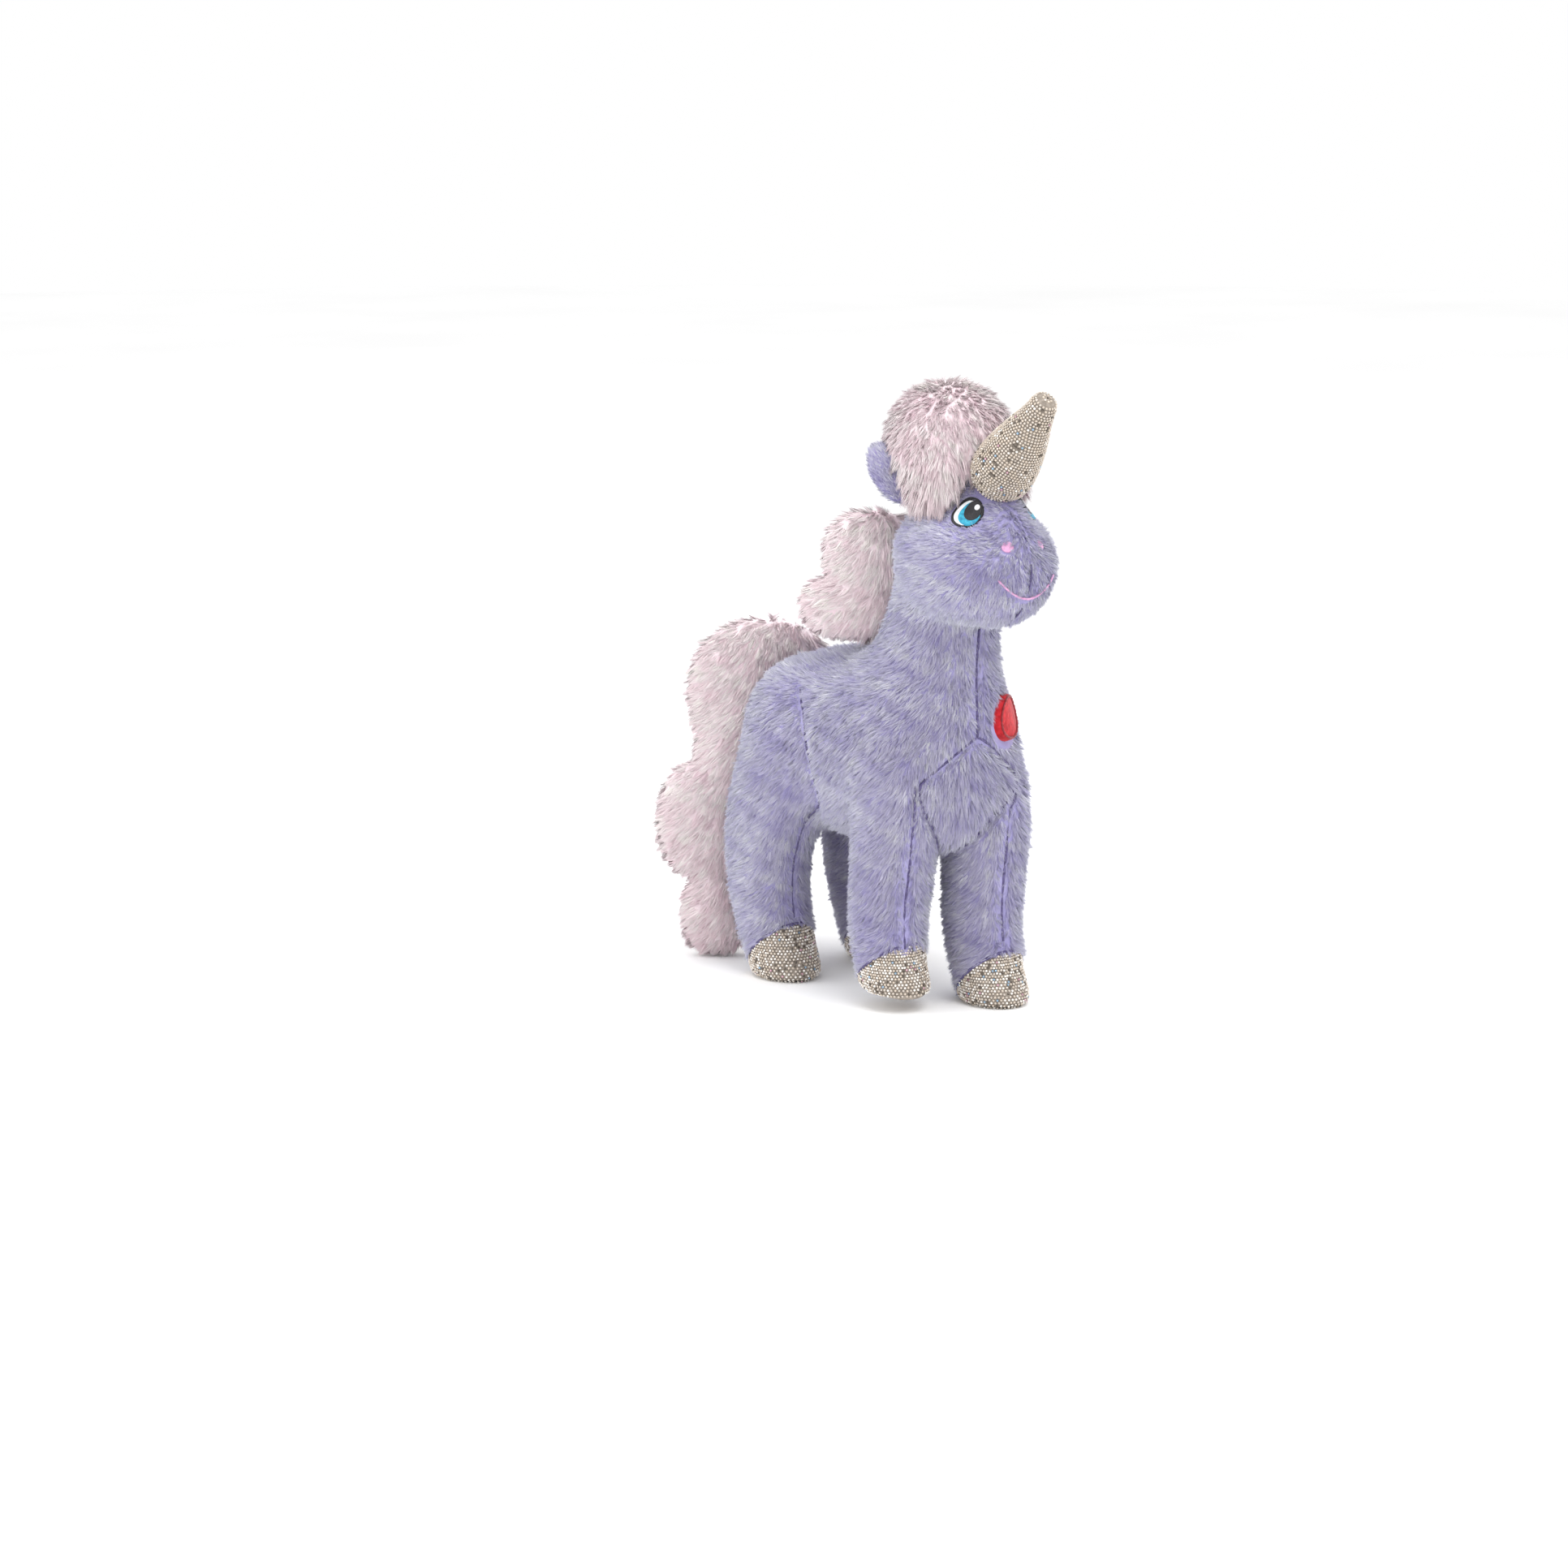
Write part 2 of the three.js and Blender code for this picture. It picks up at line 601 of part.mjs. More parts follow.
function flopPlane(root) {
  const flop = rad(root === TAIL_ROOT ? TAIL_FLOP : MANE_FLOP);
  const back = direction([-Math.cos(flop), -Math.sin(flop), 0]);
  const basis = new THREE.Matrix4().makeBasis(back, UP, back.clone().cross(UP));
  return basis.setPosition(place([...root, 0]));
}

function addLobed(name, lobes, thick, root, obstacles) {
  const blocked = obstacles.reduce((whole, next) => whole.add(next));
  const padded = (inset) => lobes
    .map((each) => solid(lobe(each, thick, root, inset)))
    .reduce((whole, next) => whole.add(next));
  const shell = padded(0).subtract(padded(CLOTH)).subtract(blocked);
  for (const [sideName, side] of LEFT_RIGHT) {
    const slab = new THREE.BoxGeometry(FAR, FAR, FAR).translate(0, 0, side * (FAR / 2 + GAP / 2));
    const half = solid(slab.applyMatrix4(flopPlane(root)));
    piece(group, `${name}_panel_${sideName}`, shell.intersect(half), COLOURS.pink);
  }
  piece(group, `${name}_stuffing`, padded(CLOTH + GAP).subtract(blocked), COLOURS.fibre);
}

// Seen from the mane or tail, the body turns the other way round the root line.
function around(makeGeometry, root, angles) {
  return swept(makeGeometry, place([...root, 0]), UP, angles.map((degrees) => -degrees));
}
const neckSpace = column(NECK_ROWS, { inset: -SWING_GAP, sides: 12 });
const maneTurns = there(MANE_LEAN);
addLobed("mane", MANE_LOBES, MANE_THICK, MANE_ROOT, [
  around(neckSpace, MANE_ROOT, maneTurns),
  around(room(TORSO), MANE_ROOT, maneTurns),
  ...maneTurns.flatMap((lean) => headTurns.map((turn) => {
    const head = turned(room(HEAD), place(HEAD_AXIS), UP, turn);
    return solid(turned(head, place([...MANE_ROOT, 0]), UP, -lean));
  })),
]);
const tailTurns = [TAIL_SWING[0], -34, -17, TAIL_SWING[1]];
addLobed("tail", TAIL_LOBES, TAIL_THICK, TAIL_ROOT, [
  around(room(TORSO), TAIL_ROOT, tailTurns),
]);

group.position.set(-BOX_MIDDLE[0], -BOX_MIDDLE[1], 0);

export default group;
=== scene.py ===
"""Looks of the standing plush unicorn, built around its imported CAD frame.

Shapes are written [forward, left, up] in millimetres, from the point midway between the hooves, as in
the CAD source. Each sewn skin is the zero surface of a blended distance field, and its pile is real
geometry: thin tapered blades that lie along a combed direction.
"""

import math

import bpy
import numpy as np
import openvdb
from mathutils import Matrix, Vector, kdtree


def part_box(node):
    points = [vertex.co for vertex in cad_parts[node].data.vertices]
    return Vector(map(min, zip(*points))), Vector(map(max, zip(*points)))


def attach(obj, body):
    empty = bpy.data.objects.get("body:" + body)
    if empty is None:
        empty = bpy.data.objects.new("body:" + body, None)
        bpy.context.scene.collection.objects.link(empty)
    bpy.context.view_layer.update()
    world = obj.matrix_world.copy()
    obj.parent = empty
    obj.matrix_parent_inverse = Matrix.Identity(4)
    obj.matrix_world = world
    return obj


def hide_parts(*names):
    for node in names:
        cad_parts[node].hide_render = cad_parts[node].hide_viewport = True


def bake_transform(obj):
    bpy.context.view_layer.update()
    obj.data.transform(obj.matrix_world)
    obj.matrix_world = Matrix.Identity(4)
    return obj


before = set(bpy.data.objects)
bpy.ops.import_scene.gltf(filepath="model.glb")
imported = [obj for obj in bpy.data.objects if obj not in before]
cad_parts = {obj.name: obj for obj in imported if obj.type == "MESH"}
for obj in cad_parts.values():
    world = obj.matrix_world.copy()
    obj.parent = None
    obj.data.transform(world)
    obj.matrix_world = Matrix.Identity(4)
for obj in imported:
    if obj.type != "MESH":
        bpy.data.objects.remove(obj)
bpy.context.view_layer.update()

MM = 0.001
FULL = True


def middle(node):
    low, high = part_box(node)
    return (low + high) / (2 * MM)


# The rear left sole's middle is here in the toy's own measure.
REAR_SOLE_FORWARD = -34.0
REAR_SOLE_LEFT = 25.0
ORIGIN = middle("hoof_rear_left_sole").y + REAR_SOLE_FORWARD
ORIGIN_LEFT = middle("hoof_rear_left_sole").x - REAR_SOLE_LEFT


def row(points):
    """[forward, left, up] in millimetres as row-frame metres."""
    p = np.asarray(points, float).reshape(-1, 3)
    return np.stack([p[:, 1] + ORIGIN_LEFT, ORIGIN - p[:, 0], p[:, 2]], 1) * MM


def row_dir(vectors):
    v = np.asarray(vectors, float).reshape(-1, 3)
    return np.stack([v[:, 1], -v[:, 0], v[:, 2]], 1)


def unit(v):
    v = np.asarray(v, float)
    return v / np.maximum(np.linalg.norm(v, axis=-1, keepdims=True), 1e-9)


# ---------------------------------------------------------------- distance fields
def smoothstep(x, low, high):
    t = np.clip((x - low) / (high - low), 0, 1)
    return t * t * (3 - 2 * t)


class Grid:
    """A box of sample points, [forward, left, up] in millimetres."""

    def __init__(self, low, high, pitch):
        self.low = np.array(low, float)
        self.pitch = pitch
        counts = [int(math.ceil((b - a) / pitch)) + 1 for a, b in zip(low, high)]
        axes = [a + pitch * np.arange(n) for a, n in zip(low, counts)]
        self.points = np.meshgrid(*axes, indexing="ij")
        self.shape = tuple(counts)

    def distance(self, implicit):
        """An implicit function, zero at its surface, as a distance in millimetres near it."""
        slope = np.gradient(implicit, self.pitch)
        steep = np.sqrt(sum(s * s for s in slope))
        return np.clip(implicit / np.maximum(steep, 1e-3), -40, 60)


class Field:
    """A distance field on a grid, with its slope, read at any point."""

    def __init__(self, grid, values):
        self.grid = grid
        self.values = values
        self.slopes = np.gradient(values, grid.pitch)

    def read(self, points, values=None):
        values = self.values if values is None else values
        at = (np.asarray(points, float).reshape(-1, 3) - self.grid.low) / self.grid.pitch
        at = np.clip(at, 0, np.array(self.grid.shape) - 1.001)
        base = at.astype(int)
        part = at - base
        total = 0
        for corner in np.ndindex(2, 2, 2):
            weight = np.prod(np.where(corner, part, 1 - part), axis=1)
            i, j, k = (base + corner).T
            total = total + weight * values[i, j, k]
        return total

    def normals(self, points):
        return unit(np.stack([self.read(points, s) for s in self.slopes], 1))

    def snap(self, points, level=0.0):
        """The points moved onto the surface."""
        p = np.array(points, float).reshape(-1, 3)
        for _ in range(6):
            step = np.clip(self.read(p) - level, -4, 4)
            p = p - self.normals(p) * step[:, None]
        return p

    def mesh(self):
        """Vertices and faces of the zero surface, faces outwards."""
        vdb = openvdb.FloatGrid(60.0)
        vdb.copyFromArray(self.values.astype(np.float32))
        points, quads = vdb.convertToQuads(isovalue=0.0)
        points = points.astype(float) * self.grid.pitch + self.grid.low
        quads = quads.astype(int)
        a, b, c, d = (points[quads[:, i]] for i in range(4))
        facing = np.cross(c - a, d - b)
        out = self.normals((a + b + c + d) / 4)
        if (facing * out).sum() < 0:
            quads = quads[:, ::-1]
        return points, quads


def smin(a, b, soft):
    h = np.clip(0.5 + 0.5 * (b - a) / soft, 0, 1)
    return b + (a - b) * h - soft * h * (1 - h)


def smax(a, b, soft):
    return -smin(-a, -b, soft)


def cubic(x, xs, ys):
    """A smooth curve through the rows of a column."""
    xs, ys = np.asarray(xs, float), np.asarray(ys, float)
    slopes = np.gradient(ys, xs)
    i = np.clip(np.searchsorted(xs, x) - 1, 0, len(xs) - 2)
    span = xs[i + 1] - xs[i]
    t = np.clip((x - xs[i]) / span, 0, 1)
    a = (1 + 2 * t) * (1 - t) ** 2
    b = t * (1 - t) ** 2 * span
    c = t * t * (3 - 2 * t)
    d = t * t * (t - 1) * span
    return a * ys[i] + b * slopes[i] + c * ys[i + 1] + d * slopes[i + 1]


def egg(grid, centre, half, power=2.0, lift=None, deepen=None, narrow=None):
    """A rounded form, which may rise, deepen along its length or narrow towards its top."""
    F, L, U = grid.points
    s = (F - centre[0]) / half[0]
    held = np.clip(s, -1, 1)
    high = half[2] * (deepen(held) if deepen else 1)
    v = (U - centre[2] - (lift(held) if lift else 0)) / high
    w = (L - centre[1]) / half[1]
    if narrow:
        w = w / narrow(v / np.maximum(np.sqrt(v * v + w * w), 1e-6))
    return grid.distance((np.abs(s) ** power + (v * v + w * w) ** (power / 2)) ** (1 / power) - 1)


def column(grid, rows, points=None):
    """An upright form through rows of height, forward, left and two half widths."""
    F, L, U = points or grid.points
    heights = [r[0] for r in rows]
    f, l, a, b = (cubic(U, heights, [r[i] for r in rows]) for i in range(1, 5))
    side = grid.distance(np.sqrt(((F - f) / a) ** 2 + ((L - l) / b) ** 2) - 1)
    return smax(side, np.maximum(heights[0] - U, U - heights[-1]), 3.0)


def tube_distance(grid, line):
    """How far each grid point is from a polyline."""
    P = np.stack(grid.points, -1)
    best = np.full(grid.shape, 1e9)
    for a, b in zip(line[:-1], line[1:]):
        low = np.minimum(a, b) - 5
        high = np.maximum(a, b) + 5
        i0 = np.maximum(((low - grid.low) / grid.pitch).astype(int), 0)
        i1 = np.minimum(((high - grid.low) / grid.pitch).astype(int) + 2, grid.shape)
        box = tuple(slice(i, j) for i, j in zip(i0, i1))
        sub = P[box]
        ab = b - a
        t = np.clip(((sub - a) @ ab) / max(ab @ ab, 1e-9), 0, 1)
        d = np.linalg.norm(sub - a - t[..., None] * ab, axis=-1)
        best[box] = np.minimum(best[box], d)
    return best


# ---------------------------------------------------------------- the toy's shape
SIDES = {"left": 1, "right": -1}
TORSO = dict(centre=(1, 0, 104), half=(62, 35.5, 38.5), power=2.4)
TORSO_LIFT = lambda s: 1.5 * s - 2.5 * s * s
TORSO_DEEPEN = lambda s: 1 + 0.05 * s
NECK_ROWS = [
    (100, 27, 0, 33, 32),
    (112, 29, 0, 35, 33),
    (126, 33, 0, 33, 30.5),
    (140, 37, 0, 29, 25.5),
    (154, 41, 0, 26, 22),
    (168, 45, 0, 24, 20.5),
    (190, 48, 0, 23, 19.5),
]
HEAD = dict(centre=(64, 0, 190), half=(35.5, 27.5, 31), power=2.15)
HEAD_LIFT = lambda s: -6 * smoothstep(s, 0.1, 0.8)
HEAD_DEEPEN = lambda s: 1 - 0.1 * smoothstep(s, 0.1, 0.9)
HEAD_NARROW = lambda up: 1 - 0.36 * smoothstep(up, 0, 1)
FRONT_ROWS = [
    (-0.7, 6.6, 16.8, 13.6),
    (4, 6.2, 17.4, 14.4),
    (12, 3.2, 16.6, 14.8),
    (24, -0.2, 16.6, 15.6),
    (52, -0.8, 18, 16.8),
    (74, 0, 19.5, 17),
    (92, -1, 18, 15),
    (104, -2, 14, 10),
]
REAR_ROWS = [
    (-0.7, 9, 17, 13.6),
    (4, 8.8, 17.6, 14.6),
    (13, 5.2, 17.2, 15.2),
    (26, 0, 17, 16),
    (48, -3, 19.5, 17),
    (70, 2, 24.5, 17.5),
    (90, 7, 25, 14.5),
    (106, 9, 17, 8),
]
STEP_BACK = math.radians(6.5)
STEP_LIFT = 6.8
LEGS = {
    "front_left": dict(line=(47, 19), hip=90, rows=FRONT_ROWS, turn=0.0, lift=0.0),
    "front_right": dict(line=(40, -19), hip=90, rows=FRONT_ROWS, turn=STEP_BACK, lift=STEP_LIFT),
    "rear_left": dict(line=(-40, 25), hip=92, rows=REAR_ROWS, turn=0.0, lift=0.0),
    "rear_right": dict(line=(-40, -25), hip=92, rows=REAR_ROWS, turn=0.0, lift=0.0),
}
HOOF_FRONT_HEIGHT = 27.0
HOOF_SLOPE = math.radians(43)
PILE_PROUD = 1.3  # the cloth lies this far inside the outline that the pile's tips make
PINK_PROUD = 2.4


def leg_local(leg, F, U):
    """Grid points seen from the leg before it takes its step."""
    c, s = math.cos(leg["turn"]), math.sin(leg["turn"])
    X = F - leg["line"][0]
    Y = U - leg["hip"] - leg["lift"]
    return X * c - Y * s + leg["line"][0], X * s + Y * c + leg["hip"]


def leg_placed(leg, f, u):
    """A point of the leg after its step."""
    c, s = math.cos(leg["turn"]), math.sin(leg["turn"])
    x, y = f - leg["line"][0], u - leg["hip"]
    return x * c + y * s + leg["line"][0], -x * s + y * c + leg["hip"] + leg["lift"]


def leg_field(grid, leg):
    F, L, U = grid.points
    f, u = leg_local(leg, F, U)
    ahead, aside = leg["line"]
    rows = [(up, ahead + fwd, aside, a, b) for up, fwd, a, b in leg["rows"]]
    return column(grid, rows, (f, L, u))


def hoof_plane(leg):
    """A point and the upward normal of the sloping hoof seam."""
    toe = leg["line"][0] + 20.0
    at = leg_placed(leg, toe, HOOF_FRONT_HEIGHT)
    tip = leg_placed(leg, toe - math.sin(HOOF_SLOPE), HOOF_FRONT_HEIGHT + math.cos(HOOF_SLOPE))
    return np.array([at[0], 0, at[1]]), np.array([tip[0] - at[0], 0, tip[1] - at[1]])


body_grid = Grid((-78, -54, -6), (112, 54, 232), 1.35 if FULL else 1.7)
torso = egg(body_grid, **TORSO, lift=TORSO_LIFT, deepen=TORSO_DEEPEN)
neck = column(body_grid, NECK_ROWS)
head = egg(body_grid, **HEAD, lift=HEAD_LIFT, deepen=HEAD_DEEPEN, narrow=HEAD_NARROW)
trunk = smin(torso, neck, 14)
for side in SIDES.values():
    haunch = egg(body_grid, (-30, 15 * side, 100), (31, 23, 34))
    trunk = smin(trunk, haunch, 8)
    shoulder = egg(body_grid, (38, 17 * side, 100), (22, 19, 26))
    trunk = smin(trunk, shoulder, 8)
trunk = smin(trunk, egg(body_grid, (38, 0, 92), (30, 24, 30)), 8)
trunk = smin(trunk, egg(body_grid, (0, 0, 88), (46, 30, 26.5)), 8)
cheeks = [egg(body_grid, (62, 13 * side, 183), (24, 15.5, 20)) for side in SIDES.values()]
for cheek in cheeks:
    head = smin(head, cheek, 8)
trunk_and_head = smin(trunk, head, 4.5)
legs = {name: leg_field(body_grid, leg) for name, leg in LEGS.items()}
whole = trunk_and_head
for leg in legs.values():
    whole = smin(whole, leg, 7)
whole = whole + PILE_PROUD
skin_before_seams = Field(body_grid, whole)

# Seams of the sewn panels, pulled on to the skin.
SEAMS = {
    "chest": [(66, 0, 158), (67, 0, 140), (66, 0, 126), (65, 0, 114)],
    "gusset_right": [(65, 0, 114), (64, -12, 106), (58, -25, 95), (54, -17, 80), (44, -4, 66)],
    "gusset_left": [(65, 0, 114), (64, 12, 106), (60, 24, 95), (57, 15, 80), (44, 4, 66)],
    "front_right_leg": [(58, -25, 95), (57, -25, 80), (54, -24, 60), (50, -23, 42), (48, -22, 27)],
    "front_left_leg": [(60, 24, 95), (64, 17, 80), (64, 16, 60), (64, 16, 42), (65, 17, 28)],
}
PAIRED_SEAMS = {
    "thigh_{}": [(-16, 30, 126), (-7, 34, 115), (-2, 36, 98), (0, 34, 80), (-8, 30, 66)],
    "rear_{}_leg": [(-8, 30, 66), (-15, 26, 56), (-19, 25, 44), (-18, 25, 28)],
    "rear_{}_back": [(-66, 25, 96), (-66, 25, 70), (-63, 25, 46), (-58, 25, 24)],
}
for name, line in PAIRED_SEAMS.items():
    for side_name, side in reversed(SIDES.items()):
        SEAMS[name.format(side_name)] = [(ahead, side * aside, up) for ahead, aside, up in line]
SEAMS |= {
    "jaw": [(99, 0, 186), (98, 0, 180), (97, 0, 176)],
    "chin": [(94, 0, 167), (90, 0, 163.5), (86, 0, 162)],
    "back": [(12, 0, 146), (-10, 0, 143), (-34, 0, 138), (-52, 0, 124)],
}


def resample(line, step):
    line = np.asarray(line, float)
    lengths = np.r_[0, np.cumsum(np.linalg.norm(np.diff(line, axis=0), axis=1))]
    at = np.linspace(0, lengths[-1], max(int(lengths[-1] / step), 2) + 1)
    return np.stack([np.interp(at, lengths, line[:, i]) for i in range(3)], 1)


def rounded(line, step=2.5):
    """A polyline with its corners rounded."""
    line = resample(line, step)
    for _ in range(4):
        line[1:-1] = (line[:-2] + 2 * line[1:-1] + line[2:]) / 4
    return line


seam_lines = {name: skin_before_seams.snap(rounded(line)) for name, line in SEAMS.items()}
seam_distance = np.full(body_grid.shape, 1e9)
for line in seam_lines.values():
    seam_distance = np.minimum(seam_distance, tube_distance(body_grid, line))
SEAM_DEPTH = 2.4
SEAM_WIDTH = 1.6
whole = whole + SEAM_DEPTH * np.exp(-((seam_distance / SEAM_WIDTH) ** 2))
skin = Field(body_grid, whole)
seam_field = Field(body_grid, np.minimum(seam_distance, 60.0))


# ---------------------------------------------------------------- materials
def colour(hex_code):
    """An sRGB hex code as linear values."""
    values = [int(hex_code[i:i + 2], 16) / 255 for i in (0, 2, 4)]
    return [v / 12.92 if v <= 0.04045 else ((v + 0.055) / 1.055) ** 2.4 for v in values] + [1.0]


WHITE = (1, 1, 1, 1)


def plain(name, rgba, roughness=0.85, sheen=0.0, sheen_tint=WHITE, metallic=0.0, specular=0.25):
    m = bpy.data.materials.new(name)
    m.use_nodes = True
    values = {
        "Base Color": rgba, "Roughness": roughness, "Metallic": metallic,
        "Specular IOR Level": specular, "Sheen Weight": sheen, "Sheen Roughness": 0.4,
        "Sheen Tint": sheen_tint,
    }
    for socket, value in values.items():
        m.node_tree.nodes["Principled BSDF"].inputs[socket].default_value = value
    return m


def mottled(name, dark, light, scale, bump=0.3, bump_scale=900.0, **finish):
    """A cloth whose colour drifts between two shades, with a fine fibre bump."""
    m = plain(name, light, **finish)
    nodes, links = m.node_tree.nodes, m.node_tree.links
    shader = nodes["Principled BSDF"]
    where = nodes.new("ShaderNodeTexCoord")
    noise = nodes.new("ShaderNodeTexNoise")
    noise.inputs["Scale"].default_value = scale
    noise.inputs["Detail"].default_value = 6
    ramp = nodes.new("ShaderNodeValToRGB")
    ramp.color_ramp.elements[0].position = 0.35
    ramp.color_ramp.elements[0].color = dark
    ramp.color_ramp.elements[1].position = 0.65
    ramp.color_ramp.elements[1].color = light
    fine = nodes.new("ShaderNodeTexNoise")
    fine.inputs["Scale"].default_value = bump_scale
    fine.inputs["Detail"].default_value = 3
    raised = nodes.new("ShaderNodeBump")
    raised.inputs["Strength"].default_value = bump
    raised.inputs["Distance"].default_value = 0.0004
    links.new(where.outputs["Object"], noise.inputs["Vector"])
    links.new(where.outputs["Object"], fine.inputs["Vector"])
    links.new(noise.outputs["Fac"], ramp.inputs["Fac"])
    links.new(ramp.outputs["Color"], shader.inputs["Base Color"])
    links.new(fine.outputs["Fac"], raised.inputs["Height"])
    links.new(raised.outputs["Normal"], shader.inputs["Normal"])
    return m


FROST = (0.86, 0.88, 0.96, 1)
lavender_cloth = mottled("lavender_cloth", colour("938dba"), colour("a8a2cd"), 60, sheen=0.3)
lavender_pile = [
    plain(f"lavender_pile_{tone}", colour(code), 0.9, sheen, FROST)
    for tone, code, sheen in (("deep", "a39cc9", 0.8), ("mid", "bab5d4", 0.9), ("pale", "cbc8de", 1.0),
                              ("frost", "dedde8", 1.0))
]
pink_cloth = mottled("pink_cloth", colour("f1dae2"), colour("fbeef2"), 60, sheen=0.5)
pink_pile = [
    plain("pink_pile_deep", colour("f3dae2"), 0.9, 0.7, (1, 0.95, 0.97, 1)),
    plain("pink_pile_mid", colour("fae8ec"), 0.9, 0.8, (1, 0.97, 0.98, 1)),
    plain("pink_pile_pale", colour("fdf2f3"), 0.9, 0.9, WHITE),
    plain("pink_pile_cream", colour("fff8f4"), 0.9, 0.9, WHITE),
]
knit = mottled("metallic_knit", colour("857b71"), colour("a89d92"), 500, 0.6, 1400, roughness=0.55)
beads = [
    plain("bead_silver", colour("d3c9be"), 0.34, metallic=0.6, specular=0.6),
    plain("bead_beige", colour("cfc2b3"), 0.42, metallic=0.25, specular=0.6),
    plain("bead_white", colour("f4efe8"), 0.25, metallic=0.2, specular=0.8),
    plain("bead_dark", colour("6e665e"), 0.35, metallic=0.7, specular=0.5),
    plain("bead_sky", colour("9db8cf"), 0.25, metallic=0.7, specular=0.7),
    plain("bead_rose", colour("cfa7b4"), 0.25, metallic=0.7, specular=0.7),
]
HOOF_SHARES = [0.31, 0.28, 0.31, 0.05, 0.025, 0.025]
HORN_SHARES = [0.47, 0.4, 0.04, 0.06, 0.015, 0.015]


def thread(name, dark, light, roughness=0.4):
    return mottled(name, colour(dark), colour(light), 700, 0.4, 2500, roughness=roughness, sheen=0.2,
                   specular=0.5)


black_thread = thread("black_thread", "0b0b0e", "1d1c22")
white_thread = thread("white_thread", "dcdde2", "f7f7f9")
iris_thread = thread("iris_thread", "1583a8", "35b4cf")
rose_thread = thread("rose_thread", "cf93c0", "e2b0d4", 0.6)
# Painted shade: a dark purple cord whose colour stands in for the shade in the seam creases.
seam_shade_cord = thread("seam_shade_cord", "453d66", "6a618f", 0.7)
red_thread = thread("red_thread", "7c0d15", "96202a")
red_felt = mottled("red_felt", colour("a3131d"), colour("cf2a33"), 400, 0.6, 1200, sheen=0.3)
ribbon = mottled("label_ribbon", colour("e4e4e4"), colour("fafafa"), 900, 0.4, 2200, sheen=0.2)


# ---------------------------------------------------------------- mesh helpers
def make(name, points, faces, materials, slots=None, smooth=True, normals=None):
    """A mesh object from [forward, left, up] millimetres."""
    mesh = bpy.data.meshes.new(name)
    verts = row(points)
    faces = [np.asarray(f, np.int32) for f in (faces if isinstance(faces, list) else [faces])]
    loops = np.concatenate([f.ravel() for f in faces])
    sizes = np.concatenate([np.full(len(f), f.shape[1], np.int32) for f in faces])
    mesh.vertices.add(len(verts))
    mesh.vertices.foreach_set("co", verts.astype(np.float32).ravel())
    mesh.loops.add(len(loops))
    mesh.loops.foreach_set("vertex_index", loops)
    mesh.polygons.add(len(sizes))
    mesh.polygons.foreach_set("loop_start", np.r_[0, np.cumsum(sizes)[:-1]].astype(np.int32))
    for m in materials:
        mesh.materials.append(m)
    if slots is not None:
        mesh.polygons.foreach_set("material_index", np.asarray(slots, np.int32))
    mesh.polygons.foreach_set("use_smooth", np.full(len(sizes), smooth, bool))
    mesh.update(calc_edges=True)
    mesh.validate()
    if normals is not None:
        mesh.normals_split_custom_set_from_vertices(row_dir(normals))
    obj = bpy.data.objects.new(name, mesh)
    bpy.context.scene.collection.objects.link(obj)
    return obj


def keep(points, faces, chosen):
    """The chosen faces with only their own points."""
    faces = faces[chosen]
    used, inverse = np.unique(faces, return_inverse=True)
    return points[used], inverse.reshape(faces.shape)


def face_centres(points, faces):
    return points[faces].mean(1)


def join(parts):
    """Several (points, faces) as one list of each."""
    points, faces, base = [], [], 0
    for p, f in parts:
        points.append(p)
        faces.append(f + base)
        base += len(p)
    return np.concatenate(points), faces


def ring_faces(rings, spokes):
    """Quads between one more ring of points than rings, each ring closed on itself."""
    start = np.arange(rings)[:, None] * spokes
    turn = np.arange(spokes)
    a, b = start + turn, start + (turn + 1) % spokes
    return np.stack([a, b, b + spokes, a + spokes], -1).reshape(-1, 4)


def polar(rings, spokes):
    """Shares of the radius, cosines and sines of a disc's points, ring by ring."""
    share = np.repeat(np.arange(rings + 1) / rings, spokes)
    angle = np.tile(2 * math.pi * np.arange(spokes) / spokes, rings + 1)
    return share, np.cos(angle), np.sin(angle)


def leave_skin(start, ray, near, far, steps):
    """Where rays that start inside the toy pass out through its skin."""
    near, far = np.full(len(ray), near), np.full(len(ray), far)
    for _ in range(steps):
        mid = (near + far) / 2
        inside = skin.read(start + ray * mid[:, None]) < 0
        near, far = np.where(inside, mid, near), np.where(inside, far, mid)
    return start + ray * near[:, None]


def scatter(points, faces, per_mm2, rng):
    """Random places on quads, evenly by area."""
    a, b, c, d = (points[faces[:, i]] for i in range(4))
    first = np.linalg.norm(np.cross(b - a, c - a), axis=1) / 2
    second = np.linalg.norm(np.cross(c - a, d - a), axis=1) / 2
    area = np.r_[first, second]
    count = int(area.sum() * per_mm2)
    pick = rng.choice(len(area), count, p=area / area.sum())
    u, v = rng.random(count), rng.random(count)
    flip = u + v > 1
    u[flip], v[flip] = 1 - u[flip], 1 - v[flip]
    low = pick % len(faces)
    second_half = pick >= len(faces)
    p0 = a[low]
    p1 = np.where(second_half[:, None], c[low], b[low])
    p2 = np.where(second_half[:, None], d[low], c[low])
    return p0 + u[:, None] * (p1 - p0) + v[:, None] * (p2 - p0)


def drift(points, seed):
    """A slow random drift over the surface, about -1 to 1."""
    rng = np.random.default_rng(seed)
    total = 0
    for scale in (0.05, 0.11, 0.23, 0.4):
        way = rng.normal(size=3) * scale * 1.6
        total = total + np.sin(points @ way + rng.random() * 6.3)
    return total / 2.4


FLOOR_GAP = 0.2  # no blade of the pile reaches lower than this
TONE_STEPS = [-0.55, 0.25, 0.85]  # where the pile's four shades part, from deep to pale


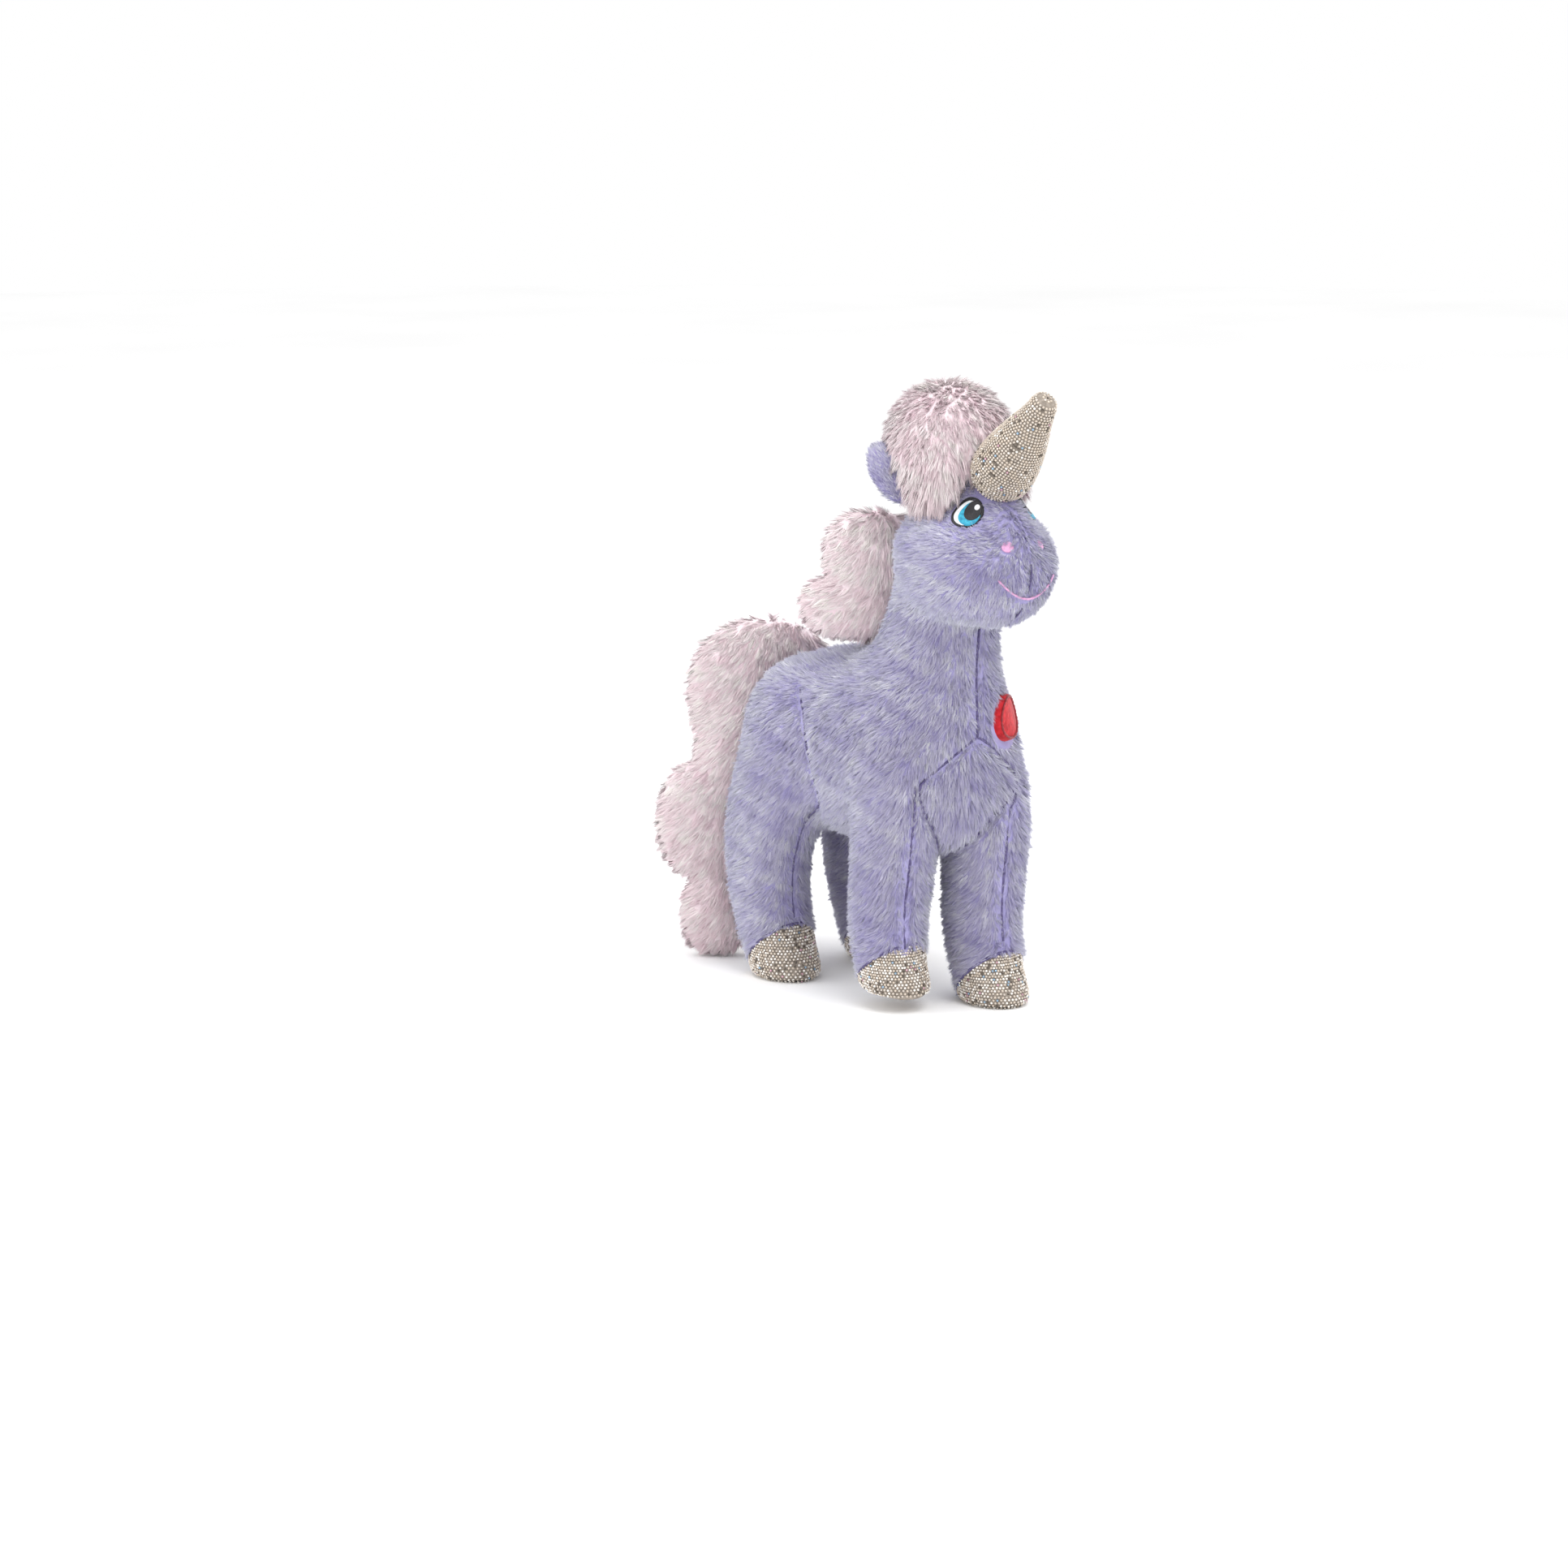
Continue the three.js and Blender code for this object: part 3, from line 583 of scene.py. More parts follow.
def tufts(name, roots, normals, ways, length, width, lift, materials, seed,
          clump, clump_pitch, fuzz=0.3):
    """Pile: a thin tapered blade at each root, lying along its way, its tip drawn to a clump's leader."""
    rng = np.random.default_rng(seed)
    n = len(roots)
    length = np.broadcast_to(length, (n,)) * rng.uniform(0.75, 1.25, n)
    ways = unit(ways - (ways * normals).sum(1, keepdims=True) * normals)
    ways = unit(ways + rng.normal(size=(n, 3)) * fuzz * 0.6)
    rise = np.radians(lift) * rng.uniform(0.7, 1.3, n)
    bend = rise * 0.35
    step1 = ways * np.cos(rise)[:, None] + normals * np.sin(rise)[:, None]
    step2 = ways * np.cos(bend)[:, None] + normals * np.sin(bend)[:, None]
    half_length = (length * 0.5)[:, None]
    tip = roots + step1 * half_length + step2 * half_length
    tone = rng.normal(size=n) * 0.3
    leaders = rng.choice(n, max(int(n / (clump_pitch ** 2 * 2.0)), 1), replace=False)
    tree = kdtree.KDTree(len(leaders))
    for i, leader in enumerate(leaders):
        tree.insert(roots[leader], i)
    tree.balance()
    near = np.array([tree.find(p)[1] for p in roots])
    tone += rng.normal(size=len(leaders))[near] * 0.22
    pull = clump * rng.uniform(0.5, 1.0, n)[:, None]
    tip = tip + (tip[leaders][near] - tip) * pull
    across = unit(np.cross(step1, normals))
    roll = rng.uniform(-1.0, 1.0, n)
    side = across * np.cos(roll)[:, None] + unit(np.cross(across, step1)) * np.sin(roll)[:, None]
    half = (side.T * (width * rng.uniform(0.7, 1.3, n) / 2)).T
    base = roots - normals * 0.6
    soft = unit(normals + rng.normal(size=(n, 3)) * fuzz)
    kind = np.searchsorted(TONE_STEPS, drift(roots, 3) * 0.55 + tone)
    points = np.stack([base - half, base + half, tip], 1)
    faces = np.arange(3 * n).reshape(-1, 3)
    points[..., 2] = np.maximum(points[..., 2], FLOOR_GAP)
    shade = np.repeat(soft[:, None, :], 3, axis=1)
    shade[:, -1] = unit(soft + ways * 0.5)
    return make(name, points.reshape(-1, 3), faces, materials, kind, normals=shade.reshape(-1, 3))


# ---------------------------------------------------------------- splitting the skin
NECK_CUT = 150.0
skin_points, skin_quads = skin.mesh()
centres = face_centres(skin_points, skin_quads)
trunk_reach = Field(body_grid, trunk_and_head).read(centres)
leg_names = list(LEGS)
leg_reach = np.stack([Field(body_grid, legs[n]).read(centres) for n in leg_names], 1)
nearest_leg = leg_reach.argmin(1)
is_leg = (leg_reach.min(1) < trunk_reach) & (centres[:, 2] < 100)
is_head = (centres[:, 2] > NECK_CUT) & (centres[:, 0] > 8)
is_trunk = ~is_leg & ~is_head


def under_hoof(leg, points):
    at, up = hoof_plane(leg)
    return (points - at) @ up < 0


def liner(grid, values, inset):
    """A closed lining just inside a skin, which shows where two skins part at a bent joint."""
    return Field(grid, values + inset).mesh()


PILE_PER_MM2 = 6.0 if FULL else 2.0
QUICK_SHARE = 0.4

EYES = {
    name: dict(at=np.array([77.8, 17.6 * s, 209.0]), normal=unit([0.36, 0.82 * s, 0.45]))
    for name, s in SIDES.items()
}
NOSTRILS = {name: np.array([96.0, 10.2 * s, 195.5]) for name, s in SIDES.items()}
MOUTH_HALF = 12.5
MOUTH_RISE = 8.5
PATCH_AT = np.array([59.5, 17.5, 119.0])
PATCH_RADIUS = 9.8
HORN_AT = np.array([79.0, 0, 221.0])
HORN_LEAN = math.radians(46)
HORN_AXIS = np.array([math.cos(HORN_LEAN), 0, math.sin(HORN_LEAN)])


# How far the pile keeps from each of them.
EYE_CLEAR = 8.3
NOSTRIL_CLEAR = 1.9
MOUTH_CLEAR = 0.8
HORN_CLEAR = 11.0
HORN_SUNK = 9
PATCH_CLEAR = 2.0

# The ways that the lavender pile is combed, [forward, left, up].
BODY_WAY = np.array([-0.55, 0, -0.8])
LEG_WAY = np.array([-0.7, 0, -0.6])
FACE_WAY = np.array([-0.9, 0, -0.35])
MUZZLE_WAY = np.array([-0.45, 0, -0.85])
BACK_WAY = np.array([-1.0, 0, -0.1])
SWIRL = np.array([0.35, 0.0, -0.1])


def mouth_line(count=40):
    s = np.linspace(-1, 1, count)
    line = np.stack([np.full(count, 97.0) - 4 * s * s, MOUTH_HALF * s, 173 + MOUTH_RISE * s * s], 1)
    return skin.snap(line)


def clear_of_face(p):
    """False where embroidery, the horn or the patch cover the pile."""
    good = np.ones(len(p), bool)
    for eye in EYES.values():
        good &= np.linalg.norm(p - eye["at"], axis=1) > EYE_CLEAR
    for at in NOSTRILS.values():
        good &= np.linalg.norm(p - skin.snap(at)[0], axis=1) > NOSTRIL_CLEAR
    for q in mouth_line(24):
        good &= np.linalg.norm(p - q, axis=1) > MOUTH_CLEAR
    along = (p - HORN_AT) @ HORN_AXIS
    off = np.linalg.norm(p - HORN_AT - along[:, None] * HORN_AXIS, axis=1)
    good &= ~((off < HORN_CLEAR) & (along > -HORN_SUNK))
    good &= np.linalg.norm(p - PATCH_AT, axis=1) > PATCH_RADIUS + PATCH_CLEAR
    return good


def comb(p, normals):
    """The way that the lavender pile lies."""
    way = np.tile(BODY_WAY, (len(p), 1))
    on_leg = smoothstep(85 - p[:, 2], 0, 25)[:, None]
    way = way * (1 - on_leg) + LEG_WAY * on_leg
    on_head = smoothstep(p[:, 2], 160, 172)[:, None]
    muzzle = smoothstep(p[:, 0], 70, 92)[:, None]
    face = FACE_WAY * (1 - muzzle) + MUZZLE_WAY * muzzle
    way = way * (1 - on_head) + face * on_head
    back_top = smoothstep(normals[:, 2], 0.4, 0.9)[:, None] * (1 - on_head)
    way = way * (1 - back_top) + BACK_WAY * back_top
    return unit(way + drift(p, 11)[:, None] * SWIRL)


def skin_fur(name, points, faces, seed):
    """The lavender pile of a piece of the skin: short on the face, longer on the chest, low at seams."""
    roots = scatter(points, faces, PILE_PER_MM2, np.random.default_rng(seed))
    seam = seam_field.read(roots)
    chance = np.random.default_rng(seed + 1).random(len(roots))
    roots = roots[clear_of_face(roots) & (chance < smoothstep(seam, 0.05, 0.6))]
    normals = skin.normals(roots)
    ways = comb(roots, normals)
    on_face = smoothstep(roots[:, 0], 62, 84) * smoothstep(roots[:, 2], 160, 170)
    chest = np.exp(-((roots[:, 2] - 95) / 22) ** 2) * smoothstep(roots[:, 0], 40, 58)
    length = 4.1 - 0.8 * on_face + 1.0 * chest
    length = length * (0.65 + 0.35 * smoothstep(seam_field.read(roots), 0.8, 4))
    for eye in EYES.values():
        near = np.linalg.norm(roots - eye["at"], axis=1)
        length = np.where(near < 12, length * 0.6, length)
    return tufts(name, roots, normals, ways, length, 0.42, 38, lavender_pile, seed,
                 clump=0.7, clump_pitch=2.7)


def neck_blend(obj):
    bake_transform(obj)


def leg_blend(obj):
    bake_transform(obj)


# ---------------------------------------------------------------- trunk and head skins
trunk_points, trunk_faces = keep(skin_points, skin_quads, is_trunk)
trunk_obj = make("trunk_skin", *join([(trunk_points, trunk_faces), liner(body_grid, trunk, 1.6)]),
                 [lavender_cloth])
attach(trunk_obj, "torso")
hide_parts("torso_skin_left", "torso_skin_right", "belly_gusset", "torso_stuffing")
trunk_fur = skin_fur("trunk_pile", trunk_points, trunk_faces, 21)
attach(trunk_fur, "torso")

head_points, head_faces = keep(skin_points, skin_quads, is_head)
head_obj = make("head_skin", head_points, head_faces, [lavender_cloth])
neck_blend(head_obj)
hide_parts("head_skin_left", "head_skin_right", "head_stuffing")
head_fur = skin_fur("head_pile", head_points, head_faces, 31)
neck_blend(head_fur)


# ---------------------------------------------------------------- beaded knit
def bead_mesh(name, at, normals, radius, seed, shares):
    """Small domed six-sided beads set on a surface."""
    rng = np.random.default_rng(seed)
    n = len(at)
    helper = np.where(np.abs(normals[:, 2:3]) > 0.9, [[1.0, 0, 0]], [[0, 0, 1.0]])
    x = unit(np.cross(helper, normals))
    y = np.cross(normals, x)
    tilt = rng.normal(size=(n, 3)) * 0.22
    up = unit(normals + tilt)
    spin = rng.random(n) * 6.3
    rings = []
    for share, rise in ((0.9, -0.15), (0.7, 0.34)):
        for k in range(6):
            angle = spin + k * math.pi / 3
            flat = x * np.cos(angle)[:, None] + y * np.sin(angle)[:, None]
            flat = flat - (flat * up).sum(1, keepdims=True) * up
            rings.append(at + flat * radius * share + up * rise * radius * 1.2)
    rings.append(at + up * radius * 0.55)
    points = np.stack(rings, 1)
    index = np.arange(n)[:, None] * 13
    quads = np.concatenate([index + np.array([k, (k + 1) % 6, 6 + (k + 1) % 6, 6 + k])
                            for k in range(6)])
    tris = np.concatenate([index + np.array([6 + k, 6 + (k + 1) % 6, 12]) for k in range(6)])
    kind = rng.choice(len(beads), n, p=shares)
    slots = np.r_[np.tile(kind, 6), np.tile(kind, 6)]
    return make(name, points.reshape(-1, 3), [quads, tris], beads, slots, smooth=False)


BEAD_PITCH = 1.25
BEADS_ROUND = 80
BEAD_STAGGER = 0.039  # radians that each level of beads is turned past the last


def hoof_beads(name, leg):
    """Rows of beads round a hoof, level by level up to its seam."""
    places = []
    ahead, aside = leg["line"]
    seam_at, seam_up = hoof_plane(leg)
    for level, up in enumerate(np.arange(0.8, HOOF_FRONT_HEIGHT + 6, BEAD_PITCH * 0.9)):
        angles = np.linspace(0, 2 * math.pi, BEADS_ROUND, endpoint=False) + level * BEAD_STAGGER
        f0, u0 = leg_placed(leg, ahead + 2, up)
        ray = np.stack([np.cos(angles), np.sin(angles), np.zeros(BEADS_ROUND)], 1)
        spots = leave_skin(np.array([f0, aside, u0]), ray, 4.0, 30.0, 16)
        spots = spots[(spots - seam_at) @ seam_up < -0.7]
        places.append(spots)
    places = np.concatenate(places)
    normals = skin.normals(places)
    rng = np.random.default_rng(len(name))
    places = places + rng.normal(size=places.shape) * 0.08
    return bead_mesh(f"hoof_{name}_beads", places + normals * 0.35, normals, BEAD_PITCH * 0.5,
                     40 + len(name), HOOF_SHARES)


ROPE_SIDES = 6


def rope(name, line, radius, material, closed=False, lumps=0.0, lump_pitch=1.5):
    """A thin thread along a line, thicker at each stitch."""
    line = np.asarray(line, float)
    if closed:
        line = np.r_[line, line[:1]]
    tangent = unit(np.gradient(line, axis=0))
    normal = skin.normals(line)
    normal = unit(normal - (normal * tangent).sum(1, keepdims=True) * tangent)
    across = np.cross(tangent, normal)
    run = np.r_[0, np.cumsum(np.linalg.norm(np.diff(line, axis=0), axis=1))]
    r = radius * (1 + lumps * np.abs(np.sin(math.pi * run / lump_pitch)))
    rings = []
    for k in range(ROPE_SIDES):
        angle = 2 * math.pi * k / ROPE_SIDES
        rings.append(line + (normal * math.cos(angle) + across * math.sin(angle)) * r[:, None])
    points = np.stack(rings, 1).reshape(-1, 3)
    parts = [ring_faces(len(line) - 1, ROPE_SIDES)]
    if not closed:
        end = np.arange(ROPE_SIDES)[None, :]
        parts += [end[:, ::-1], end + (len(line) - 1) * ROPE_SIDES]
    return make(name, points, parts, [material])


def hoof_seam(leg, count=90):
    """The hoof's seam line on the skin."""
    at, up = hoof_plane(leg)
    ahead, aside = leg["line"]
    angles = np.linspace(0, 2 * math.pi, count, endpoint=False)
    centre_f, centre_u = leg_placed(leg, ahead, 14)
    centre = np.array([centre_f, aside, centre_u])
    centre = centre - up * ((centre - at) @ up)
    x = np.array([up[2], 0, -up[0]])
    y = np.array([0, 1.0, 0])
    ray = np.cos(angles)[:, None] * x + np.sin(angles)[:, None] * y
    return leave_skin(centre, ray, 2.0, 45.0, 18)


# ---------------------------------------------------------------- legs and hooves
for index, (name, leg) in enumerate(LEGS.items()):
    mine = is_leg & (nearest_leg == index)
    low = mine & under_hoof(leg, centres)
    points, faces = keep(skin_points, skin_quads, mine & ~low)
    inner = liner(body_grid, legs[name], 1.4)
    obj = make(f"leg_{name}_skin", *join([(points, faces), inner]), [lavender_cloth])
    leg_blend(obj)
    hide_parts(f"leg_{name}_outer_panel", f"leg_{name}_inner_panel", f"leg_{name}_stuffing")
    fur = skin_fur(f"leg_{name}_pile", points, faces, 51 + index)
    leg_blend(fur)

    points, faces = keep(skin_points, skin_quads, low)
    cap = make(f"hoof_{name}_knit", points, faces, [knit])
    leg_blend(cap)
    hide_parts(f"hoof_{name}_cap", f"hoof_{name}_sole")
    shine = hoof_beads(name, leg)
    leg_blend(shine)
    # The dark cord round the hoof seam is painted shade along its crease.
    seam = rope(f"hoof_{name}_seam", hoof_seam(leg), 0.5, seam_shade_cord, closed=True, lumps=0.5)
    leg_blend(seam)

SEAM_BODIES = {"chest": "torso", "back": "torso", "jaw": "head", "chin": "head"}
# Dark cords in the seam grooves, lumped like stitches: painted shade for the creases.
for name, line in seam_lines.items():
    line = skin.snap(line)
    seam_shade_rope = rope(f"seam_{name}_thread", line + skin.normals(line) * 0.5,
                       0.26 if SEAM_BODIES.get(name) == "head" else 0.42, seam_shade_cord,
                       lumps=0.5, lump_pitch=1.8)
    if name in SEAM_BODIES:
        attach(seam_shade_rope, SEAM_BODIES[name])
    else:
        leg_blend(seam_shade_rope)

# ---------------------------------------------------------------- embroidery
STITCH_PITCH = 0.45
LAST_RING = 0.99  # a share past this is a disc's rim, which is tucked into the skin


def embroidered(name, at, normal, half, centre, layer, material, thread_along, raised=0.7):
    """A satin-stitched oval on the head, in layers that stand on each other."""
    n = unit(normal)
    across = unit(np.cross([0, 0, 1.0], n)) * (1 if n[1] < 0 else -1)
    up = unit(np.cross(n, across)) * np.sign(np.cross(n, across)[2])
    rings, spokes = 16, 56
    share, cosine, sine = polar(rings, spokes)
    flat = np.stack([centre[0] + half[0] * share * cosine, centre[1] + half[1] * share * sine], 1)
    surface = skin.snap(at + across * flat[:, :1] + up * flat[:, 1:])
    ridges = np.abs(np.sin(math.pi * (flat @ thread_along) / STITCH_PITCH))
    edge = 1 - smoothstep(share, 0.86, 1.0)
    height = raised + 0.36 * layer + 0.14 * ridges * edge
    height = np.where(share > LAST_RING, height - 0.9, height)
    points = surface + skin.normals(surface) * height[:, None]
    obj = make(name, points, ring_faces(rings, spokes), [material])
    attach(obj, "head")
    return obj


for side_name, eye in EYES.items():
    at, normal = eye["at"], eye["normal"]
    rows = [
        ("lid", (7.4, 7.0), (0.0, 0.0), 0, black_thread, (1, 0), "black_thread"),
        ("white", (5.9, 5.8), (0.05, -0.65), 1, white_thread, (1, 0), "white_thread"),
        ("iris", (5.0, 5.4), (1.5, -0.9), 2, iris_thread, (1, 0), "blue_thread"),
        ("pupil", (4.0, 4.4), (2.6, 0.6), 3, black_thread, (1, 0), "black_thread"),
        ("glint", (1.3, 1.2), (4.0, 2.0), 4, white_thread, (1, 0), "white_thread"),
    ]
    for part, half, centre, layer, material, along, slot_name in rows:
        obj = embroidered(f"eye_{side_name}_{part}_stitches", at, normal, half, centre, layer * 0.55,
                          material, along)
        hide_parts(f"eye_{side_name}_{part}")
    spot = skin.snap(NOSTRILS[side_name])[0]
    dot = embroidered(f"nostril_{side_name}_stitches", spot, skin.normals(spot)[0], (2.5, 2.3), (0, 0),
                      0, rose_thread, (0, 1), raised=0.5)
    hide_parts(f"nostril_{side_name}")

smile = mouth_line(60)
mouth = rope("mouth_stitches", smile + skin.normals(smile) * 0.8, 0.34, rose_thread, lumps=0.5,
             lump_pitch=2.2)
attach(mouth, "head")
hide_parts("mouth")


# ---------------------------------------------------------------- horn
HORN_LENGTH = 40.5
HORN_PROFILE = [  # share of the length, radius
    (-0.24, 0.5), (-0.2, 7.2), (-0.12, 10.6), (0, 12.2), (0.2, 11.8), (0.45, 9.8),
    (0.6, 8.1), (0.72, 6.6), (0.84, 5.4), (0.93, 4.6), (0.98, 3.0), (1.0, 0.4),
]
HORN_SPOKES = 40
BEAD_PROUD = 0.3


def horn_radius(share):
    return cubic(np.asarray(share, float), [p[0] for p in HORN_PROFILE], [p[1] for p in HORN_PROFILE])


HORN_SIDE = np.array([0, 1.0, 0])
HORN_TOP = np.cross(HORN_AXIS, HORN_SIDE)


def horn_points(share, angle, proud=0.0):
    """Points on the horn. Its tip bends back a little."""
    share, angle = np.asarray(share, float), np.asarray(angle, float)
    radius = horn_radius(share) + proud
    bend = 2.0 * np.clip(share, 0, 1) ** 2
    line = HORN_AT + (share * HORN_LENGTH)[..., None] * HORN_AXIS
    line = line + bend[..., None] * np.array([-0.3, 0, 0.9])
    flat = np.cos(angle)[..., None] * HORN_SIDE + np.sin(angle)[..., None] * HORN_TOP
    return line + flat * radius[..., None]


shares = np.r_[np.linspace(-0.24, -0.12, 8), np.linspace(-0.1, 0.9, 36), np.linspace(0.92, 1.0, 8)]
angles = np.linspace(0, 2 * math.pi, HORN_SPOKES, endpoint=False)
horn_verts = horn_points(shares[:, None] + 0 * angles, angles[None, :] + 0 * shares[:, None])
horn_verts = horn_verts.reshape(-1, 3)
horn_obj = make("horn_knit", horn_verts, ring_faces(len(shares) - 1, HORN_SPOKES), [knit])
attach(horn_obj, "horn")
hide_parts("horn_cover", "horn_stuffing")
spots, outs = [], []
level = 0
share = -0.2
while share < 0.995:
    radius = float(horn_radius(share))
    count = max(int(2 * math.pi * radius / BEAD_PITCH), 4)
    around = np.linspace(0, 2 * math.pi, count, endpoint=False) + level * 0.5 * 2 * math.pi / count
    here = horn_points(np.full(count, share), around, BEAD_PROUD)
    ahead = horn_points(np.full(count, min(share + 0.01, 1.0)), around, BEAD_PROUD)
    flat = np.cos(around)[:, None] * HORN_SIDE + np.sin(around)[:, None] * HORN_TOP
    slope = unit(ahead - here)
    spots.append(here)
    outs.append(unit(flat - (flat * slope).sum(1, keepdims=True) * slope))
    share += BEAD_PITCH * 0.92 / HORN_LENGTH
    level += 1
horn_beads = bead_mesh("horn_beads", np.concatenate(spots), np.concatenate(outs), BEAD_PITCH * 0.5, 91,
                       HORN_SHARES)
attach(horn_beads, "horn")

# ---------------------------------------------------------------- forelock
lock_grid = Grid((2, -42, 188), (100, 42, 266), 1.4)
lock = egg(lock_grid, (46, 0, 229), (31, 25, 27))
for side in SIDES.values():
    lock = smin(lock, egg(lock_grid, (57, 17 * side, 217), (15, 8.5, 18)), 7)
lock_head = egg(lock_grid, **HEAD, lift=HEAD_LIFT, deepen=HEAD_DEEPEN, narrow=HEAD_NARROW)
lock = smax(lock + PINK_PROUD, -(lock_head + 1.5), 2.0)
forelock = Field(lock_grid, lock)
lock_points, lock_faces = forelock.mesh()
lock_obj = make("forelock_skin", lock_points, lock_faces, [pink_cloth])
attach(lock_obj, "head")
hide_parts("forelock_cover", "forelock_stuffing")


def pile_on(field, points, faces, name, way_of, length, per_mm2, seed, materials, keep_if=None,
            lift=36, clump=0.8, clump_pitch=3.4):
    """Pile on a piece that has a field of its own."""
    roots = scatter(points, faces, per_mm2 * (1.0 if FULL else QUICK_SHARE), np.random.default_rng(seed))
    if keep_if is not None:
        roots = roots[keep_if(roots)]
    normals = field.normals(roots)
    long = length(roots) if callable(length) else length
    return tufts(name, roots, normals, way_of(roots, normals), long, 0.5, lift, materials, seed,
                 clump, clump_pitch, fuzz=0.28)


def clear_of_eyes(p):
    near = [np.linalg.norm(p - eye["at"], axis=1) for eye in EYES.values()]
    return (skin.read(p) > -1.0) & (np.min(near, axis=0) > 11)


def lock_way(p, normals):
    crown = np.array([40.0, 0, 262])
    out = unit(p - crown)
    front = smoothstep(p[:, 0], 50, 75)[:, None]
    way = out + np.array([-0.25, 0, -0.7]) * (1 - front) + np.array([0.25, 0, -0.9]) * front
    return unit(way + drift(p, 5)[:, None] * np.array([0.3, 0.25, 0]))


lock_fur = pile_on(forelock, lock_points, lock_faces, "forelock_pile", lock_way,
                   lambda p: 4.5 + 4.5 * smoothstep(232 - p[:, 2], 0, 20), 5.5, 61, pink_pile,
                   keep_if=clear_of_eyes)
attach(lock_fur, "head")

# ---------------------------------------------------------------- ears
EAR_BASE = np.array([40.0, 16.5, 208.0])
EAR_TIP = np.array([29.0, 25.0, 228.0])
for side_name, side in SIDES.items():
    flip = np.array([1, side, 1])
    base, tip = EAR_BASE * flip, EAR_TIP * flip
    up = unit(tip - base)
    outward = unit(np.array([0.75, 0.66 * side, 0.1]))
    across = unit(np.cross(outward, up))
    face = np.cross(up, across)
    face = face * np.sign(face @ outward)
    height = np.linalg.norm(tip - base)
    low = np.minimum(base, tip) - 14
    high = np.maximum(base, tip) + 12
    ear_grid = Grid(low, high, 0.8)
    P = np.stack(ear_grid.points, -1) - (base + up * height * 0.45)
    a, b, c = P @ across, P @ up, P @ face
    cupped = c - 0.03 * a * a + 1.6
    values = ear_grid.distance(np.sqrt((a / 7.4) ** 2 + (b / (height * 0.55)) ** 2
                                       + (cupped / 3.4) ** 2) - 1)
    ear_field = Field(ear_grid, values)
    points, faces = ear_field.mesh()
    inside = ((face_centres(points, faces) - base) @ face > 0.2) & (
        ear_field.normals(face_centres(points, faces)) @ face > 0.5)
    ear = make(f"ear_{side_name}_skin", points, faces, [lavender_cloth])
    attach(ear, f"ear_{side_name}")
    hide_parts(f"ear_{side_name}_back", f"ear_{side_name}_lining")
    for kind, chosen in (("pile", ~inside), ("lining_pile", inside)):
        fur = pile_on(ear_field, points, faces[chosen], f"ear_{side_name}_{kind}",
                      lambda p, n, up=up: np.tile(up, (len(p), 1)), 2.8, 6.0, 71, lavender_pile,
                      lift=34, clump=0.4, clump_pitch=2)
        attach(fur, f"ear_{side_name}")

# ---------------------------------------------------------------- mane and tail
def flopped(degrees):
    """The backward way of a mane or tail that lies over to the right."""
    return np.array([-math.cos(math.radians(degrees)), -math.sin(math.radians(degrees)), 0])


MANE = dict(root=(14, 0), back=flopped(44), thick=17.0, lobes=[(18, 160, 24.5, 15.5), (11, 181, 22, 20)])
TAIL = dict(root=(-57, 0), back=flopped(56), thick=17.0,
            lobes=[(14, 115, 33, 33), (27, 86, 18, 30), (38, 60, 22.5, 28), (34, 20, 16.5, 20.5)])


def lobed(name, spec, soft):
    root = np.array([*spec["root"], 0.0])
    way = spec["back"]
    level = np.cross(way, [0, 0, 1.0])
    away = [x for lobe in spec["lobes"] for x in (lobe[0] - lobe[2], lobe[0] + lobe[2])]
    ups = [x for lobe in spec["lobes"] for x in (lobe[1] - lobe[3], lobe[1] + lobe[3])]
    ends = np.stack([root + way * min(away), root + way * max(away)])
    low = np.r_[ends.min(0)[:2] - 14, max(min(ups) - 6, -4)]
    high = np.r_[ends.max(0)[:2] + 14, max(ups) + 6]
    grid = Grid(low, high, 1.3 if FULL else 1.6)
    P = np.stack(grid.points, -1) - root
    a, u, c = P @ way, P[..., 2], P @ level
    total = None
    for away_at, up_at, length, height in spec["lobes"]:
        s = (u - up_at) / height
        r = np.sqrt(((a - away_at) / length) ** 2 + (c / (spec["thick"] / 2)) ** 2)
        g = (np.abs(s) ** 2.3 + r ** 2.3) ** (1 / 2.3) - 1
        d = grid.distance(g)
        total = d if total is None else smin(total, d, soft)
    field = Field(grid, total + PINK_PROUD)
    return field, *field.mesh()


def lobe_way(spec, p):
    """Outwards from the middle of each lobe and down, with the curve of the scallops."""
    root = np.array([*spec["root"], 0.0])
    way = spec["back"]
    a = (p - root) @ way
    total = np.zeros((len(p), 3))
    for away_at, up_at, length, height in spec["lobes"]:
        near = np.exp(-(((a - away_at) / length) ** 2 + ((p[:, 2] - up_at) / height) ** 2))
        out = (a - away_at + length * 0.55)[:, None] * way / length
        total += near[:, None] * (out + np.array([0, 0, -0.85]))
    return unit(total + drift(p, 9)[:, None] * way * 0.35)


for name, spec, body in (("mane", MANE, "mane"), ("tail", TAIL, "tail")):
    field, points, faces = lobed(name, spec, 3.0)
    obj = make(f"{name}_skin", points, faces, [pink_cloth])
    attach(obj, body)
    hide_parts(f"{name}_panel_left", f"{name}_panel_right", f"{name}_stuffing")
    fur = pile_on(field, points, faces, f"{name}_pile", lambda p, n, spec=spec: lobe_way(spec, p),
                  5.2, 5.0, 81, pink_pile, keep_if=lambda p: skin.read(p) > -2.0)
    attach(fur, body)

